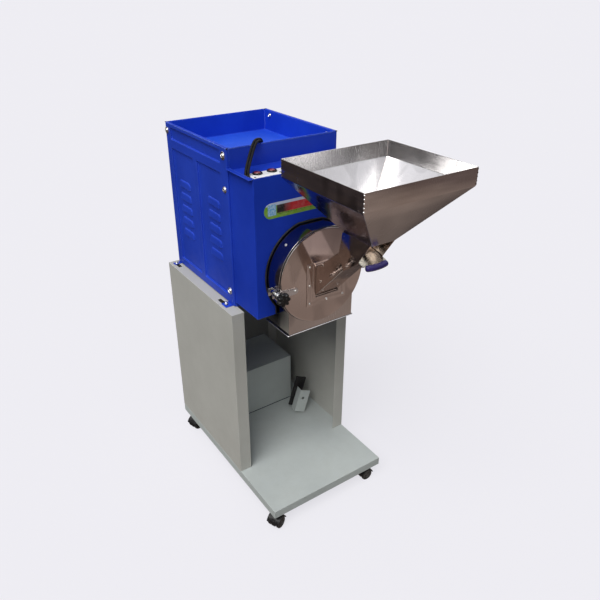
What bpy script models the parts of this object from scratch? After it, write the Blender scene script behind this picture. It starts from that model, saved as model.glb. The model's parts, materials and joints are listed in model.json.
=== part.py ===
"""Cabinet-type hammer mill for grain: stand on casters, louvred motor casing, grinding
chamber with swing door, sloping inlet, hopper with feed gate.

Frame: metres, +Z up, x to the machine's right seen from its front, the front faces -Y.
The origin is on the floor, at the centre of the footprint's bounding box.
Sizes are in mm; a pair of numbers on one axis is a span, low end first."""

import math

import bmesh
import bpy
from mathutils import Euler, Matrix, Vector

MM = 0.001
GAP = 0.3  # between neighbouring pieces

# ---------------------------------------------------------------- driving dimensions
SHEET = 2.0  # stand and casing frame
THIN_SHEET = 1.5  # covers, boxes and tray
STEEL = 1.2  # duct and hopper
# stand
STAND_HALF_W = 210.0
PLATFORM_Y = (-188.0, 454.0)
PLATFORM_Z = (50.0, 78.0)
STAND_TOP = 671.0
ON_PLATFORM = PLATFORM_Z[1] + GAP
# casing
COVER_X = 178.0
COVER_DEPTH = 7.0
CASING_Y = (60.0, 440.0)
CASING_TOP = 1133.0
FRAME_X = COVER_X - COVER_DEPTH - GAP
FRAME_Z = (STAND_TOP + GAP, CASING_TOP - 3.2)
ON_FRAME_FLOOR = FRAME_Z[0] + SHEET + GAP
# front box
BOX_HALF_W = 172.0
BOX_Y = (-60.5, CASING_Y[0] - GAP)
BOX_Z = (685.5, 1081.7)
PLATE_TOP = 1077.3
SWITCH_X = {"left": -130.0, "right": -86.5}
SWITCH_Y = -12.0
CABLE_X, CABLE_Y = -164.0, -18.0
# grinding chamber, axis along Y
AXIS_Z = 800.6
DRUM_R = 141.0
DRUM_WALL = 2.5
DRUM_FLAT = 136.5  # height of the cut-off top above the axis
DRUM_Y = (-121.7, -8.0)
CHUTE_HALF_W = 109.5
CHUTE_Y = (-119.0, -10.0)
CHUTE_BOTTOM = 641.0
ROTOR_Y = -65.0
SHAFT_R = 12.0
# door
DOOR_R = 137.5
DOOR_FACE_Y = -126.3
STRAP_Y = DOOR_FACE_Y - 3.0
HINGE_X, HINGE_Y = 152.0, -108.0
HINGE = (HINGE_X, HINGE_Y, AXIS_Z)
KNOB_X, KNOB_Z = -146.0, 781.0
# inlet, hopper and gate
INLET_X = (-26.5, 49.5)
NECK_X = (-28.5, 51.5)
HOPPER_X = (-152.0, 175.0)
HOPPER_Y = (-454.0, -157.0)
HOPPER_TRAY_BOTTOM = 1109.0
HOPPER_TOP = 1152.5
OUTLET_X = (-22.0, 47.0)
OUTLET_Y = (-342.0, -238.0)
OUTLET_Z = 968.0
GATE_SLOPE = math.radians(12.0)
GATE_AT = (sum(NECK_X) / 2, -299.0, 911.5)  # a point on the gate's middle plane

# ---------------------------------------------------------------- scene
for old in list(bpy.data.objects):
    bpy.data.objects.remove(old, do_unlink=True)

PARTS = bpy.data.collections.new("hammer_mill")
CUTTERS = bpy.data.collections.new("hammer_mill_cutters")
bpy.context.scene.collection.children.link(PARTS)
bpy.context.scene.collection.children.link(CUTTERS)
CUTTERS.hide_render = True


# ---------------------------------------------------------------- materials
def finish(name, color, roughness, metallic=0.0):
    material = bpy.data.materials.new(name)
    material.use_nodes = True
    shader = material.node_tree.nodes["Principled BSDF"]
    shader.inputs["Base Color"].default_value = (*color, 1.0)
    shader.inputs["Roughness"].default_value = roughness
    shader.inputs["Metallic"].default_value = metallic
    material.diffuse_color = (*color, 1.0)
    return material


GREY = finish("stand_paint", color=(0.40, 0.41, 0.38), roughness=0.55)
BLUE = finish("casing_paint", color=(0.02, 0.05, 0.42), roughness=0.4)
WHITE = finish("control_plate_paint", color=(0.85, 0.85, 0.85), roughness=0.4)
RED = finish("switch_red", color=(0.35, 0.01, 0.02), roughness=0.25)
BLACK = finish("black_plastic", color=(0.02, 0.02, 0.02), roughness=0.45)
RUBBER = finish("black_rubber", color=(0.015, 0.015, 0.015), roughness=0.8)
STAINLESS = finish("stainless_steel", color=(0.62, 0.58, 0.54), roughness=0.12, metallic=1.0)
STEEL_DARK = finish("hardened_steel", color=(0.35, 0.35, 0.36), roughness=0.35, metallic=1.0)
ZINC = finish("zinc_steel", color=(0.6, 0.6, 0.62), roughness=0.3, metallic=1.0)
IRON = finish("motor_paint", color=(0.16, 0.2, 0.24), roughness=0.5, metallic=0.3)
INDIGO = finish("grip_plastic", color=(0.02, 0.01, 0.12), roughness=0.5)


# ---------------------------------------------------------------- spans
def both(half):
    """The span centred on zero."""
    return (-half, half)


def around(centre, half):
    return (centre - half, centre + half)


def inset(span, by):
    """A span drawn in at both ends, or widened if by is negative."""
    return (span[0] + by, span[1] - by)


def mirrored(side, a, b):
    """The span between a and b, on the -x side if side is -1."""
    return tuple(sorted((side * a, side * b)))


# ---------------------------------------------------------------- solids
def place(name, mesh, material, at, rotation=(0, 0, 0), home=PARTS):
    obj = bpy.data.objects.new(name, mesh)
    obj.location = Vector(at) * MM
    obj.rotation_euler = rotation
    home.objects.link(obj)
    if material:
        mesh.materials.append(material)
    return obj


def make(name, bm, material=None, at=(0, 0, 0), home=PARTS):
    """An object from a bmesh whose coordinates are millimetres round its own origin."""
    bmesh.ops.scale(bm, vec=(MM, MM, MM), verts=bm.verts)
    bmesh.ops.recalc_face_normals(bm, faces=bm.faces)
    mesh = bpy.data.meshes.new(name)
    bm.to_mesh(mesh)
    bm.free()
    return place(name, mesh, material, at, home=home)


def smooth(obj):
    obj.data.shade_smooth()
    obj.data.set_sharp_from_angle(angle=math.radians(35.0))


def box(name, x, y, z, material=None, home=PARTS, origin=None):
    """A box over three spans, its origin at its centre or at the given point."""
    bm = bmesh.new()
    bmesh.ops.create_cube(bm, size=1.0)
    centre = [(low + high) / 2 for low, high in (x, y, z)]
    at = origin or centre
    bmesh.ops.scale(bm, vec=[high - low for low, high in (x, y, z)], verts=bm.verts)
    bmesh.ops.translate(bm, vec=[c - o for c, o in zip(centre, at)], verts=bm.verts)
    return make(name, bm, material, at, home)


def cylinder(
    name, radius, length, centre, axis="Y", segments=48, material=None, home=PARTS, origin=None
):
    """A cylinder along world Y or Z, centred on a point."""
    bm = bmesh.new()
    bmesh.ops.create_cone(
        bm, cap_ends=True, segments=segments, radius1=radius, radius2=radius, depth=length
    )
    if axis == "Y":
        quarter = Matrix.Rotation(math.pi / 2, 3, "X")
        bmesh.ops.rotate(bm, cent=(0, 0, 0), matrix=quarter, verts=bm.verts)
    at = origin or centre
    bmesh.ops.translate(bm, vec=[c - o for c, o in zip(centre, at)], verts=bm.verts)
    obj = make(name, bm, material, at, home)
    smooth(obj)
    return obj


def hexahedron(name, corner, material=None, home=CUTTERS):
    """A cube whose corners are moved to corner(i, j, k), where i, j and k are 0 at the
    low end of x, y and z and 1 at the high end."""
    bm = bmesh.new()
    bmesh.ops.create_cube(bm, size=2.0)
    for v in bm.verts:
        v.co = Vector(corner(v.co.x > 0, v.co.y > 0, v.co.z > 0))
    return make(name, bm, material, home=home)


def prism_x(name, outline, x):
    """A helper solid: a flat outline of (y, z) points carried over a span of x."""
    bm = bmesh.new()
    face = bm.faces.new([bm.verts.new((x[0], y, z)) for y, z in outline])
    out = bmesh.ops.extrude_face_region(bm, geom=[face])
    moved = [g for g in out["geom"] if isinstance(g, bmesh.types.BMVert)]
    bmesh.ops.translate(bm, vec=(x[1] - x[0], 0, 0), verts=moved)
    return make(name, bm, home=CUTTERS)


def loft_rects(name, levels, material=None, home=PARTS):
    """A body through stacked rectangles (x span, y span, z), top first."""
    bm = bmesh.new()
    rings = []
    for (x0, x1), (y0, y1), z in levels:
        corners = ((x0, y0, z), (x1, y0, z), (x1, y1, z), (x0, y1, z))
        rings.append([bm.verts.new(c) for c in corners])
    for a, b in zip(rings, rings[1:]):
        for i in range(4):
            j = (i + 1) % 4
            bm.faces.new((a[i], a[j], b[j], b[i]))
    bm.faces.new(rings[0])
    bm.faces.new(list(reversed(rings[-1])))
    return make(name, bm, material, home=home)


def turned(name, profile, at, axis="Y", material=None, home=PARTS, steps=32, loop=False):
    """A turned piece. The profile is (radius, distance) pairs running from top to bottom on
    the outer side; the top faces +Z, or -Y when the axis is along Y. loop closes a ring."""
    mesh = bpy.data.meshes.new(name)
    points = [(radius * MM, 0.0, distance * MM) for radius, distance in profile]
    edges = [(i, i + 1) for i in range(len(points) - 1)]
    if loop:
        edges.append((len(points) - 1, 0))
    mesh.from_pydata(points, edges, [])
    rotation = (math.pi / 2, 0, 0) if axis == "Y" else (0, 0, 0)
    obj = place(name, mesh, material, at, rotation, home)
    screw = obj.modifiers.new("turn", "SCREW")
    screw.axis = "Z"
    screw.angle = 2 * math.pi
    screw.steps = steps
    screw.render_steps = steps
    screw.use_merge_vertices = True
    screw.merge_threshold = 0.00001
    screw.use_smooth_shade = True
    return obj


def tube(name, outer_r, inner_r, y, material=None, home=PARTS, steps=24):
    """A plain ring round the machine's axis over a span of y."""
    half = (y[1] - y[0]) / 2
    profile = [(inner_r, half), (outer_r, half), (outer_r, -half), (inner_r, -half)]
    at = (0, (y[0] + y[1]) / 2, AXIS_Z)
    return turned(name, profile, at, "Y", material, home, steps, loop=True)


def poly_curve(name, points, dimensions):
    curve = bpy.data.curves.new(name, "CURVE")
    curve.dimensions = dimensions
    spline = curve.splines.new("POLY")
    spline.points.add(len(points) - 1)
    for target, point in zip(spline.points, points):
        target.co = (*(c * MM for c in point), 1.0)
    return curve


def from_curve(name, curve, material, home, at=(0, 0, 0), rotation=(0, 0, 0)):
    """A welded mesh object from a curve, which is dropped."""
    guide = bpy.data.objects.new(name + "_guide", curve)
    guide.location = Vector(at) * MM
    guide.rotation_euler = rotation
    CUTTERS.objects.link(guide)
    bpy.context.view_layer.update()
    graph = bpy.context.evaluated_depsgraph_get()
    mesh = bpy.data.meshes.new_from_object(guide.evaluated_get(graph))
    bm = bmesh.new()
    bm.from_mesh(mesh)
    bmesh.ops.remove_doubles(bm, verts=bm.verts, dist=0.000001)
    bmesh.ops.recalc_face_normals(bm, faces=bm.faces)
    bm.to_mesh(mesh)
    bm.free()
    obj = bpy.data.objects.new(name, mesh)
    obj.matrix_world = guide.matrix_world.copy()
    home.objects.link(obj)
    mesh.materials.clear()
    if material:
        mesh.materials.append(material)
    bpy.data.objects.remove(guide, do_unlink=True)
    smooth(obj)
    return obj


def wire(name, points, radius, material, resolution=1):
    """A round wire along points, with caps."""
    curve = poly_curve(name + "_path", points, "3D")
    curve.bevel_depth = radius * MM
    curve.bevel_resolution = resolution
    curve.use_fill_caps = True
    return from_curve(name, curve, material, PARTS)


def outline_plate(name, points, thickness, at, rotation, material=None, home=PARTS):
    """A flat plate from a closed outline in its own XY plane, centred on that plane."""
    curve = poly_curve(name + "_outline", [(x, y, 0.0) for x, y in points], "2D")
    curve.fill_mode = "BOTH"
    curve.extrude = thickness / 2 * MM
    curve.splines[0].use_cyclic_u = True
    return from_curve(name, curve, material, home, at, rotation)


# ---------------------------------------------------------------- booleans and joints
def boolean(obj, tools, operation):
    for tool in tools:
        modifier = obj.modifiers.new(operation.lower(), "BOOLEAN")
        modifier.operation = operation
        modifier.solver = "EXACT"
        modifier.object = tool
        tool.hide_render = True
        tool.display_type = "WIRE"


def cut(obj, *tools):
    boolean(obj, tools, "DIFFERENCE")


def join(obj, *tools):
    boolean(obj, tools, "UNION")


def tool_box(x, y, z):
    return box("cutter_box", x, y, z, home=CUTTERS)


def tool_rod(radius, length, centre, axis="Y", segments=48):
    return cylinder("cutter_cylinder", radius, length, centre, axis, segments, home=CUTTERS)


def pivot(name, at):
    """An empty on a joint's axis."""
    empty = place(name, None, None, at)
    empty.empty_display_size = 0.02
    return empty


def hang(obj, parent):
    """Parents an object without moving it."""
    bpy.context.view_layer.update()
    keep = obj.matrix_world.copy()
    obj.parent = parent
    obj.matrix_parent_inverse = parent.matrix_world.inverted()
    obj.matrix_world = keep


# ---------------------------------------------------------------- stand
STAND_X = both(STAND_HALF_W)
BACK_PANEL_Y = (PLATFORM_Y[1] - SHEET, PLATFORM_Y[1])


def base_platform():
    """A folded pan: top sheet, lip all round and a return flange that carries the casters."""
    flange, back_flange = 58, 84
    platform = box("base_platform", STAND_X, PLATFORM_Y, PLATFORM_Z, GREY)
    bottom = PLATFORM_Z[0]
    cut(
        platform,
        tool_box(inset(STAND_X, SHEET), inset(PLATFORM_Y, SHEET), inset(PLATFORM_Z, SHEET)),
        tool_box(
            inset(STAND_X, flange),
            (PLATFORM_Y[0] + flange, PLATFORM_Y[1] - back_flange),
            (bottom - 5, bottom + 4),
        ),
    )


def side_panel(label, side):
    """A sheet with its front, back and top edges folded inwards."""
    flange = 40.0
    y = (20.0, BACK_PANEL_Y[0] - GAP)
    inner_x = mirrored(side, STAND_HALF_W - SHEET, STAND_HALF_W - flange - 10)
    panel = box(
        f"{label}_side_panel",
        mirrored(side, STAND_HALF_W, STAND_HALF_W - flange), y, (ON_PLATFORM, STAND_TOP), GREY,
    )
    cut(panel, tool_box(inner_x, inset(y, SHEET), (PLATFORM_Z[1] - 10, STAND_TOP - SHEET)))
    # slotted holes in the top flange, for the casing's tab bolts
    for slot_y in ((78, 131), (400, 436)):
        cut(panel, tool_box(mirrored(side, 185.0, 197.0), slot_y, around(STAND_TOP, 6)))


def rear_equipment_box():
    """A thin box on the platform, open below."""
    x, y, top = both(150), (262, 449.4), 268
    body = box("rear_equipment_box", x, y, (ON_PLATFORM, top), GREY)
    cut(body, tool_box(inset(x, THIN_SHEET), inset(y, THIN_SHEET), (60, top - THIN_SHEET)))


base_platform()
side_panel("left", -1)
side_panel("right", 1)
box("stand_back_panel", STAND_X, BACK_PANEL_Y, (ON_PLATFORM, STAND_TOP), GREY)
rear_equipment_box()

# ---------------------------------------------------------------- casters
CASTER_X = 180.0
CASTER_FRONT_Y = -164.0
CASTER_REAR_Y = 400.0
CASTER_TOP = 49.7
CASTER_PLATE_UNDER = CASTER_TOP - 2.5
CASTER_AXLE = (15.0, 0, 20.0)  # the wheels' centre, trailing the kingpin
WHEEL_R = 20.0
KINGPIN_R = 4.0
AXLE_R = 4.0
PIN_CLEARANCE = 0.5
# half of the wheel set's profile (radius, distance), mirrored about the middle
WHEEL_HALF = [
    (0, 21), (WHEEL_R - 5, 21), (WHEEL_R - 2, 20), (WHEEL_R, 18), (WHEEL_R, 9.5),
    (WHEEL_R - 1, 8.5), (AXLE_R, 8.5),
]


def caster(corner, x, y, trail_angle):
    """A twin-wheel caster: the plate stays, the hood swivels, the wheel set rolls.
    Hood and wheel set are built with the axle at +x of the kingpin, then turned."""
    swivel = pivot(f"swivel_{corner}", (x, y, 0))
    plate_z = (CASTER_PLATE_UNDER, CASTER_TOP)
    plate = box(f"caster_plate_{corner}", around(x, 21), around(y, 21), plate_z, ZINC)
    join(plate, tool_rod(KINGPIN_R, 11, (x, y, CASTER_PLATE_UNDER - 4.5), "Z", 16))

    hood = box(
        f"caster_hood_{corner}", (-8, 33), both(6.5), (10, 37.5), BLACK, origin=(0, 0, 0)
    )
    fender = tool_rod(WHEEL_R + 3.5, 43, CASTER_AXLE, "Y", 32)
    hollow = tool_rod(WHEEL_R + 1.0, 60, CASTER_AXLE, "Y", 32)
    below = tool_box((-30, 60), both(30), (-10, WHEEL_R + 4))
    boss_length = 12.4
    boss_z = CASTER_PLATE_UNDER - GAP - boss_length / 2
    boss = tool_rod(8.0, boss_length, (0, 0, boss_z), "Z", 24)
    cut(fender, hollow, below)
    join(hood, fender, boss)
    bore = tool_rod(KINGPIN_R + PIN_CLEARANCE, 40, (0, 0, CASTER_PLATE_UNDER + 9), "Z", 16)
    axle_bore = tool_rod(AXLE_R + PIN_CLEARANCE, 40, CASTER_AXLE, "Y", 16)
    cut(hood, bore, axle_bore)
    wheels = turned(
        f"caster_wheels_{corner}",
        WHEEL_HALF + [(radius, -distance) for radius, distance in reversed(WHEEL_HALF)],
        CASTER_AXLE, material=RUBBER, steps=24,
    )
    for piece in (hood, wheels, fender, hollow, below, boss, bore, axle_bore):
        piece.parent = swivel
    swivel.rotation_euler = (0, 0, math.radians(trail_angle))


caster("front_left", -CASTER_X, CASTER_FRONT_Y, trail_angle=204.0)
caster("front_right", CASTER_X, CASTER_FRONT_Y, trail_angle=180.0)
caster("rear_left", -CASTER_X, CASTER_REAR_Y, trail_angle=196.0)
caster("rear_right", CASTER_X, CASTER_REAR_Y, trail_angle=-24.0)


# ---------------------------------------------------------------- casing
def casing_frame():
    """One sheet folded to a U: front wall, floor and back wall."""
    floor_z, top = FRAME_Z
    mid_floor = floor_z + SHEET / 2
    frame = box("casing_frame", both(FRAME_X), CASING_Y, FRAME_Z, BLUE)
    cut(frame, tool_box(both(FRAME_X + 20), inset(CASING_Y, SHEET), (floor_z + SHEET, top + 20)))
    # four tabs reach out under the side covers, over the stand's top flanges
    tab_z = inset((floor_z, floor_z + SHEET), 0.05)
    for side in (-1, 1):
        for tab_y in ((70.0, 99.0), (423.0, CASING_Y[1] - 1)):
            join(frame, tool_box(mirrored(side, 160.0, 201.0), tab_y, tab_z))
            cut(frame, tool_rod(4.5, 10, (side * 191.0, sum(tab_y) / 2, mid_floor), "Z", 12))
    # the motor's body passes through the front wall, and the back wall has air slots
    cut(frame, tool_rod(104, 20, (0, CASING_Y[0] + SHEET / 2, AXIS_Z)))
    for i in range(6):
        z = 740.0 + 24.0 * i
        cut(frame, tool_box(both(60), around(CASING_Y[1], 6), (z, z + 7)))


# pressed bays of the side cover: (y span, z span)
BAYS = (
    ((98.0, 243.0), (698.0, 1061.0)),
    ((265.0, 410.0), (698.0, 1061.0)),
    ((98.0, 410.0), (1086.0, 1122.0)),
)
BAY_DEPTH = 4.0
LOUVRE_TOP = [812.5 + 39.4 * i for i in range(5)]
LOUVRE_H = 17.0
LOUVRE_Y = ((124.0, 196.0), (309.0, 379.0))


def side_cover(label, side):
    """A pan of thin sheet, open inwards, with three pressed bays and two columns of louvres."""
    z = (ON_FRAME_FLOOR, FRAME_Z[1])
    outside, inside = COVER_X + 5, COVER_X - COVER_DEPTH - 5
    bay_floor = COVER_X - BAY_DEPTH
    cover_x = mirrored(side, COVER_X, COVER_X - COVER_DEPTH)
    cover = box(f"{label}_side_cover", cover_x, CASING_Y, z, BLUE)
    pocket = tool_box(
        mirrored(side, COVER_X - THIN_SHEET, inside),
        inset(CASING_Y, THIN_SHEET), inset(z, THIN_SHEET),
    )
    for bay_y, bay_z in BAYS:
        # the pocket stops one sheet short of the pressing
        behind = mirrored(side, outside, bay_floor - THIN_SHEET)
        cut(pocket, tool_box(behind, inset(bay_y, -THIN_SHEET), inset(bay_z, -THIN_SHEET)))
        cut(cover, tool_box(mirrored(side, outside, bay_floor), bay_y, bay_z))
    cut(cover, pocket)
    for top in LOUVRE_TOP:
        low = top - LOUVRE_H
        for louvre_y in LOUVRE_Y:
            louvre(cover, side, bay_floor, louvre_y, (low, top))
            slot_z = (low - 4.0, low - 0.6)
            cut(cover, tool_box(mirrored(side, outside, inside), inset(louvre_y, 2), slot_z))


def louvre(cover, side, bay_floor, y, z):
    """Adds a wedge that stands out furthest at its lower edge."""
    x = [mirrored(side, bay_floor - 0.7, bay_floor + out) for out in (3.4, 0.3)]
    join(cover, hexahedron("louvre", lambda i, j, k: (x[k][i], y[j], z[k])))


def top_tray():
    """A sunk tray with a rim that rests on the casing."""
    floor_top = 1067.5
    x, y = both(170.2), inset(CASING_Y, SHEET + 0.4)
    tray = box("top_tray", x, y, (floor_top - THIN_SHEET, CASING_TOP - 1), BLUE)
    rim_z = (CASING_TOP - 2.9, CASING_TOP)
    join(tray, tool_box(both(COVER_X + 0.5), inset(CASING_Y, -0.5), rim_z))
    cut(tray, tool_box(inset(x, THIN_SHEET), inset(y, THIN_SHEET), (floor_top, CASING_TOP + 20)))


casing_frame()
side_cover("left", -1)
side_cover("right", 1)
top_tray()


# ---------------------------------------------------------------- front box
def front_box_and_plate():
    """The box round the drum's rear part, with a shelf that holds the control plate."""
    x = both(BOX_HALF_W)
    front, (bottom, top) = BOX_Y[0], BOX_Z
    body = box("front_box", x, BOX_Y, BOX_Z, BLUE)
    for side in (-1, 1):
        flange_x = mirrored(side, BOX_HALF_W - 1, BOX_HALF_W + 12)
        join(body, tool_box(flange_x, inset(BOX_Y, 0.1), (top - 1.5, top - 0.05)))
    inner_x = inset(x, THIN_SHEET)
    inner_y = (front + THIN_SHEET, CASING_Y[0] + 30)
    shelf_top = PLATE_TOP - THIN_SHEET - GAP
    cut(
        body,
        tool_box(inner_x, inner_y, (bottom + THIN_SHEET, shelf_top - THIN_SHEET)),
        tool_box(inner_x, inner_y, (shelf_top, top + 20)),
        # openings for the drum and the chute
        tool_rod(142.5, 20, (0, front, AXIS_Z), segments=64),
        tool_box(both(112.5), around(front, 10), (bottom - 10, AXIS_Z)),
        tool_box(both(113), (front - 1, CHUTE_Y[1] + 8), (bottom - 12, bottom + 5)),
    )
    plate_z = (PLATE_TOP - THIN_SHEET, PLATE_TOP)
    plate = box("control_plate", (-158, 160), (-42, 1), plate_z, WHITE)
    for switch_x in SWITCH_X.values():
        for piece in (body, plate):
            cut(piece, tool_rod(12.2, 30, (switch_x, SWITCH_Y, PLATE_TOP), "Z", 24))
    cut(body, tool_rod(5.4, 30, (CABLE_X, CABLE_Y, PLATE_TOP), "Z", 16))


def switch(label, x):
    """A round housing that clips through the plate, with a pocket for the rocker."""
    turned(
        f"switch_housing_{label}",
        [(0, -2.2), (10.8, -2.2), (10.8, 4.3), (12.4, 4.3), (13.5, 3.2), (13.5, GAP),
         (11.7, GAP), (11.7, -18), (0, -18)],
        (x, SWITCH_Y, PLATE_TOP), "Z", BLACK, steps=20,
    )
    rocker = turned(
        f"switch_rocker_{label}",
        [(0, 4.4), (5, 3.8), (9.4, 1.4), (9.7, 0), (9.7, -2.2), (0, -2.4)],
        (x, SWITCH_Y, PLATE_TOP + 2.4), "Z", RED, steps=20,
    )
    # at rest it is pressed down at its far edge, the off position
    rocker.rotation_euler = (math.radians(-6.0), 0, 0)


def spline_points(keys, per):
    """A smooth path through key points by Catmull-Rom, with per points to a stretch."""
    pts = [Vector(key) for key in keys]
    pts = [pts[0] * 2 - pts[1]] + pts + [pts[-1] * 2 - pts[-2]]
    out = []
    for i in range(1, len(pts) - 2):
        p0, p1, p2, p3 = pts[i - 1 : i + 3]
        linear = p2 - p0
        square = 2 * p0 - 5 * p1 + 4 * p2 - p3
        cubic = 3 * p1 - p0 - 3 * p2 + p3
        for k in range(per):
            t = k / per
            out.append(0.5 * ((2 * p1) + linear * t + square * t * t + cubic * t**3))
    out.append(pts[-2])
    return out


# the cable's key points (x, y, z), from inside the front box to the tray floor
CABLE_KEYS = [
    (CABLE_X, CABLE_Y, 1062), (CABLE_X, CABLE_Y, 1079), (-158, -10, 1092), (-138, 12, 1108),
    (-114, 35, 1129), (-99, 47, 1141), (-83, 58, 1142), (-70, 69, 1136), (-64, 77, 1119),
    (-61, 84, 1096), (-60, 90, 1069.5),
]

front_box_and_plate()
for switch_label, switch_at in SWITCH_X.items():
    switch(switch_label, switch_at)
wire("power_cable", spline_points(CABLE_KEYS, per=2), 4.0, RUBBER)

# ---------------------------------------------------------------- motor (axis along Y)
BEARING_BORE_R = SHAFT_R + GAP


def motor_housing():
    """The body tube on two feet."""
    foot_z = (ON_FRAME_FLOOR, FRAME_Z[0] + SHEET + 16)
    web_z = (FRAME_Z[0] + SHEET + 10, AXIS_Z - 45)
    housing = tube("motor_housing", 88, 46, (15.3, 229.7), IRON, steps=40)
    for side in (-1, 1):
        join(
            housing,
            tool_box(mirrored(side, 58.0, 96.0), (72, 190), foot_z),
            tool_box(mirrored(side, 60.0, 72.0), (72.5, 189.5), web_z),
        )


def endshields_and_bearings():
    turned(
        "motor_front_endshield",
        [(23.4, 18.1), (98, 18.1), (98, 6), (90, 2), (88, 0), (44, 0), (44, 4), (23.4, 4)],
        (0, 15.0, AXIS_Z), material=IRON, loop=True,
    )
    turned(
        "motor_rear_endshield",
        [(20.4, 0), (88, 0), (88, -6), (60, -18), (20.4, -18)],
        (0, 230.0, AXIS_Z), material=IRON, loop=True,
    )
    tube("shaft_bearing_front", 23.1, BEARING_BORE_R, (-2.0, 10.0), ZINC)
    tube("shaft_bearing_rear", 20.1, BEARING_BORE_R, (232.0, 246.0), ZINC)


def motor_fan():
    """A hub and disc with six radial blades."""
    fan = tube("motor_fan", 17, BEARING_BORE_R, (251.0, 276.0), BLACK)
    join(fan, tube("fan_disc", 74, 15, (252.0, 254.5), home=CUTTERS, steps=40))
    for i in range(6):
        blade = box("fan_blade", (14, 70), both(9), both(1.5), home=CUTTERS, origin=(0, 0, 0))
        blade.location = Vector((0, 262.0, AXIS_Z)) * MM
        blade.rotation_euler = (0, math.radians(60 * i + 15), 0)
        join(fan, blade)


def motor_fan_cover():
    """A cup over the fan, with a ring of six holes in its end."""
    hole_ring_r = 50
    cover = turned(
        "motor_fan_cover",
        [(0, -50.4), (83, -50.4), (88.6, -43.4), (88.6, 0), (90.2, 0), (90.2, -44),
         (84, -52), (0, -52)],
        (0, 249.0, AXIS_Z), material=IRON,
    )
    for i in range(6):
        a = math.radians(60 * i)
        x, z = hole_ring_r * math.cos(a), AXIS_Z + hole_ring_r * math.sin(a)
        cut(cover, tool_rod(15, 20, (x, 300.0, z), segments=10))


def motor_terminal_box():
    """A box on top of the motor, open below."""
    x, y, top, wall = both(42), (92, 168), AXIS_Z + 130, 4
    terminal = box("motor_terminal_box", x, y, (AXIS_Z + 89.2, top), IRON)
    cut(terminal, tool_box(inset(x, wall), inset(y, wall), (AXIS_Z + 80, top - wall)))


def motor_shaft():
    """The shaft, thick inside the housing; its front end carries the rotor."""
    thick_r = 44
    turned(
        "motor_shaft",
        [(0, 112), (SHAFT_R - 1, 112), (SHAFT_R, 111), (SHAFT_R, -40), (thick_r, -40),
         (thick_r, -205), (SHAFT_R, -205), (SHAFT_R, -277), (SHAFT_R - 1, -278), (0, -278)],
        (0, 0, AXIS_Z), material=STEEL_DARK, steps=24,
    )


motor_housing()
endshields_and_bearings()
motor_fan()
motor_fan_cover()
motor_terminal_box()
motor_shaft()


# ---------------------------------------------------------------- grinding chamber
def drum(name, radius, y, flat, material=None, home=PARTS):
    """A drum along Y whose top is cut off flat."""
    body = cylinder(
        name, radius, y[1] - y[0], (0, (y[0] + y[1]) / 2, AXIS_Z),
        segments=64, material=material, home=home,
    )
    cut(body, tool_box(both(200), inset(y, -20), (AXIS_Z + flat, AXIS_Z + 200)))
    return body


def chamber_shell():
    """The drum with a rectangular chute below, flanged at its mouth."""
    wall = 2.0
    x = both(CHUTE_HALF_W)
    shell = drum("chamber_shell", DRUM_R, DRUM_Y, DRUM_FLAT, STAINLESS)
    join(
        shell,
        tool_box(x, CHUTE_Y, (CHUTE_BOTTOM + 0.5, AXIS_Z - 5)),
        tool_box(inset(x, -4.5), inset(CHUTE_Y, -4), (CHUTE_BOTTOM, CHUTE_BOTTOM + 2)),
    )
    inner_r, inner_flat = DRUM_R - DRUM_WALL, DRUM_FLAT - DRUM_WALL
    cut(
        shell,
        drum("cutter_drum", inner_r, inset(DRUM_Y, -20), inner_flat, home=CUTTERS),
        tool_box(inset(x, wall), inset(CHUTE_Y, wall), (CHUTE_BOTTOM - 20, AXIS_Z - 15)),
    )


def chamber_back_plate():
    """A disc behind the drum, cut straight at the bottom."""
    back, thickness = DRUM_Y[1], 4.0
    plate = cylinder(
        "chamber_back_plate", 147, thickness, (0, back + GAP + thickness / 2, AXIS_Z),
        segments=64, material=STAINLESS,
    )
    cut(
        plate,
        tool_box(both(200), (back - 10, back + 20), (600, BOX_Z[0] + 2.5)),
        tool_rod(14, 20, (0, back + 2, AXIS_Z), segments=32),
    )


def half_round_screen():
    """A half-round screen over the outlet, with slots along the shaft direction."""
    centre = (0, ROTOR_Y, AXIS_Z)
    screen = cylinder("screen", 131, 98, centre, segments=64, material=STAINLESS)
    cut(
        screen,
        tool_rod(129, 120, centre, segments=64),
        tool_box(both(200), around(ROTOR_Y, 75), (AXIS_Z - 12, AXIS_Z + 200)),
    )
    for i in range(-6, 7):
        slot = box(
            "screen_slot", both(1.6), both(41), (-142, -118), home=CUTTERS, origin=(0, 0, 0)
        )
        slot.location = Vector(centre) * MM
        slot.rotation_euler = (0, math.radians(12 * i), 0)
        cut(screen, slot)
    ear_z = (AXIS_Z - 15, AXIS_Z - 12.05)
    for side in (-1, 1):
        join(screen, tool_box(mirrored(side, 129.6, 137.6), around(ROTOR_Y, 35), ear_z))


PIN_CIRCLE_R = 66.0
PIN_R = 5.0


def rotor_with_hammers():
    """A hub and two discs that carry four pins, each with a hammer."""
    rotor = tube("rotor", 28, SHAFT_R + GAP, around(ROTOR_Y, 19), STEEL_DARK)
    for label, centre in (("a", ROTOR_Y - 14), ("b", ROTOR_Y + 14)):
        join(rotor, tube(f"rotor_disc_{label}", 88, 20, around(centre, 3), home=CUTTERS, steps=32))
    for i in range(4):
        a = math.radians(45 + 90 * i)
        at = (PIN_CIRCLE_R * math.sin(a), ROTOR_Y, AXIS_Z + PIN_CIRCLE_R * math.cos(a))
        cut(rotor, tool_rod(PIN_R + 0.4, 80, at, segments=12))
        turned(
            f"hammer_pin_{i + 1}",
            [(0, 21), (8, 21), (8, 17.4), (PIN_R, 17.4), (PIN_R, -20), (PIN_R - 1, -21),
             (0, -21)],
            at, material=ZINC, steps=12,
        )
        swinging_hammer(f"hammer_{i + 1}", at, a)


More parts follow.
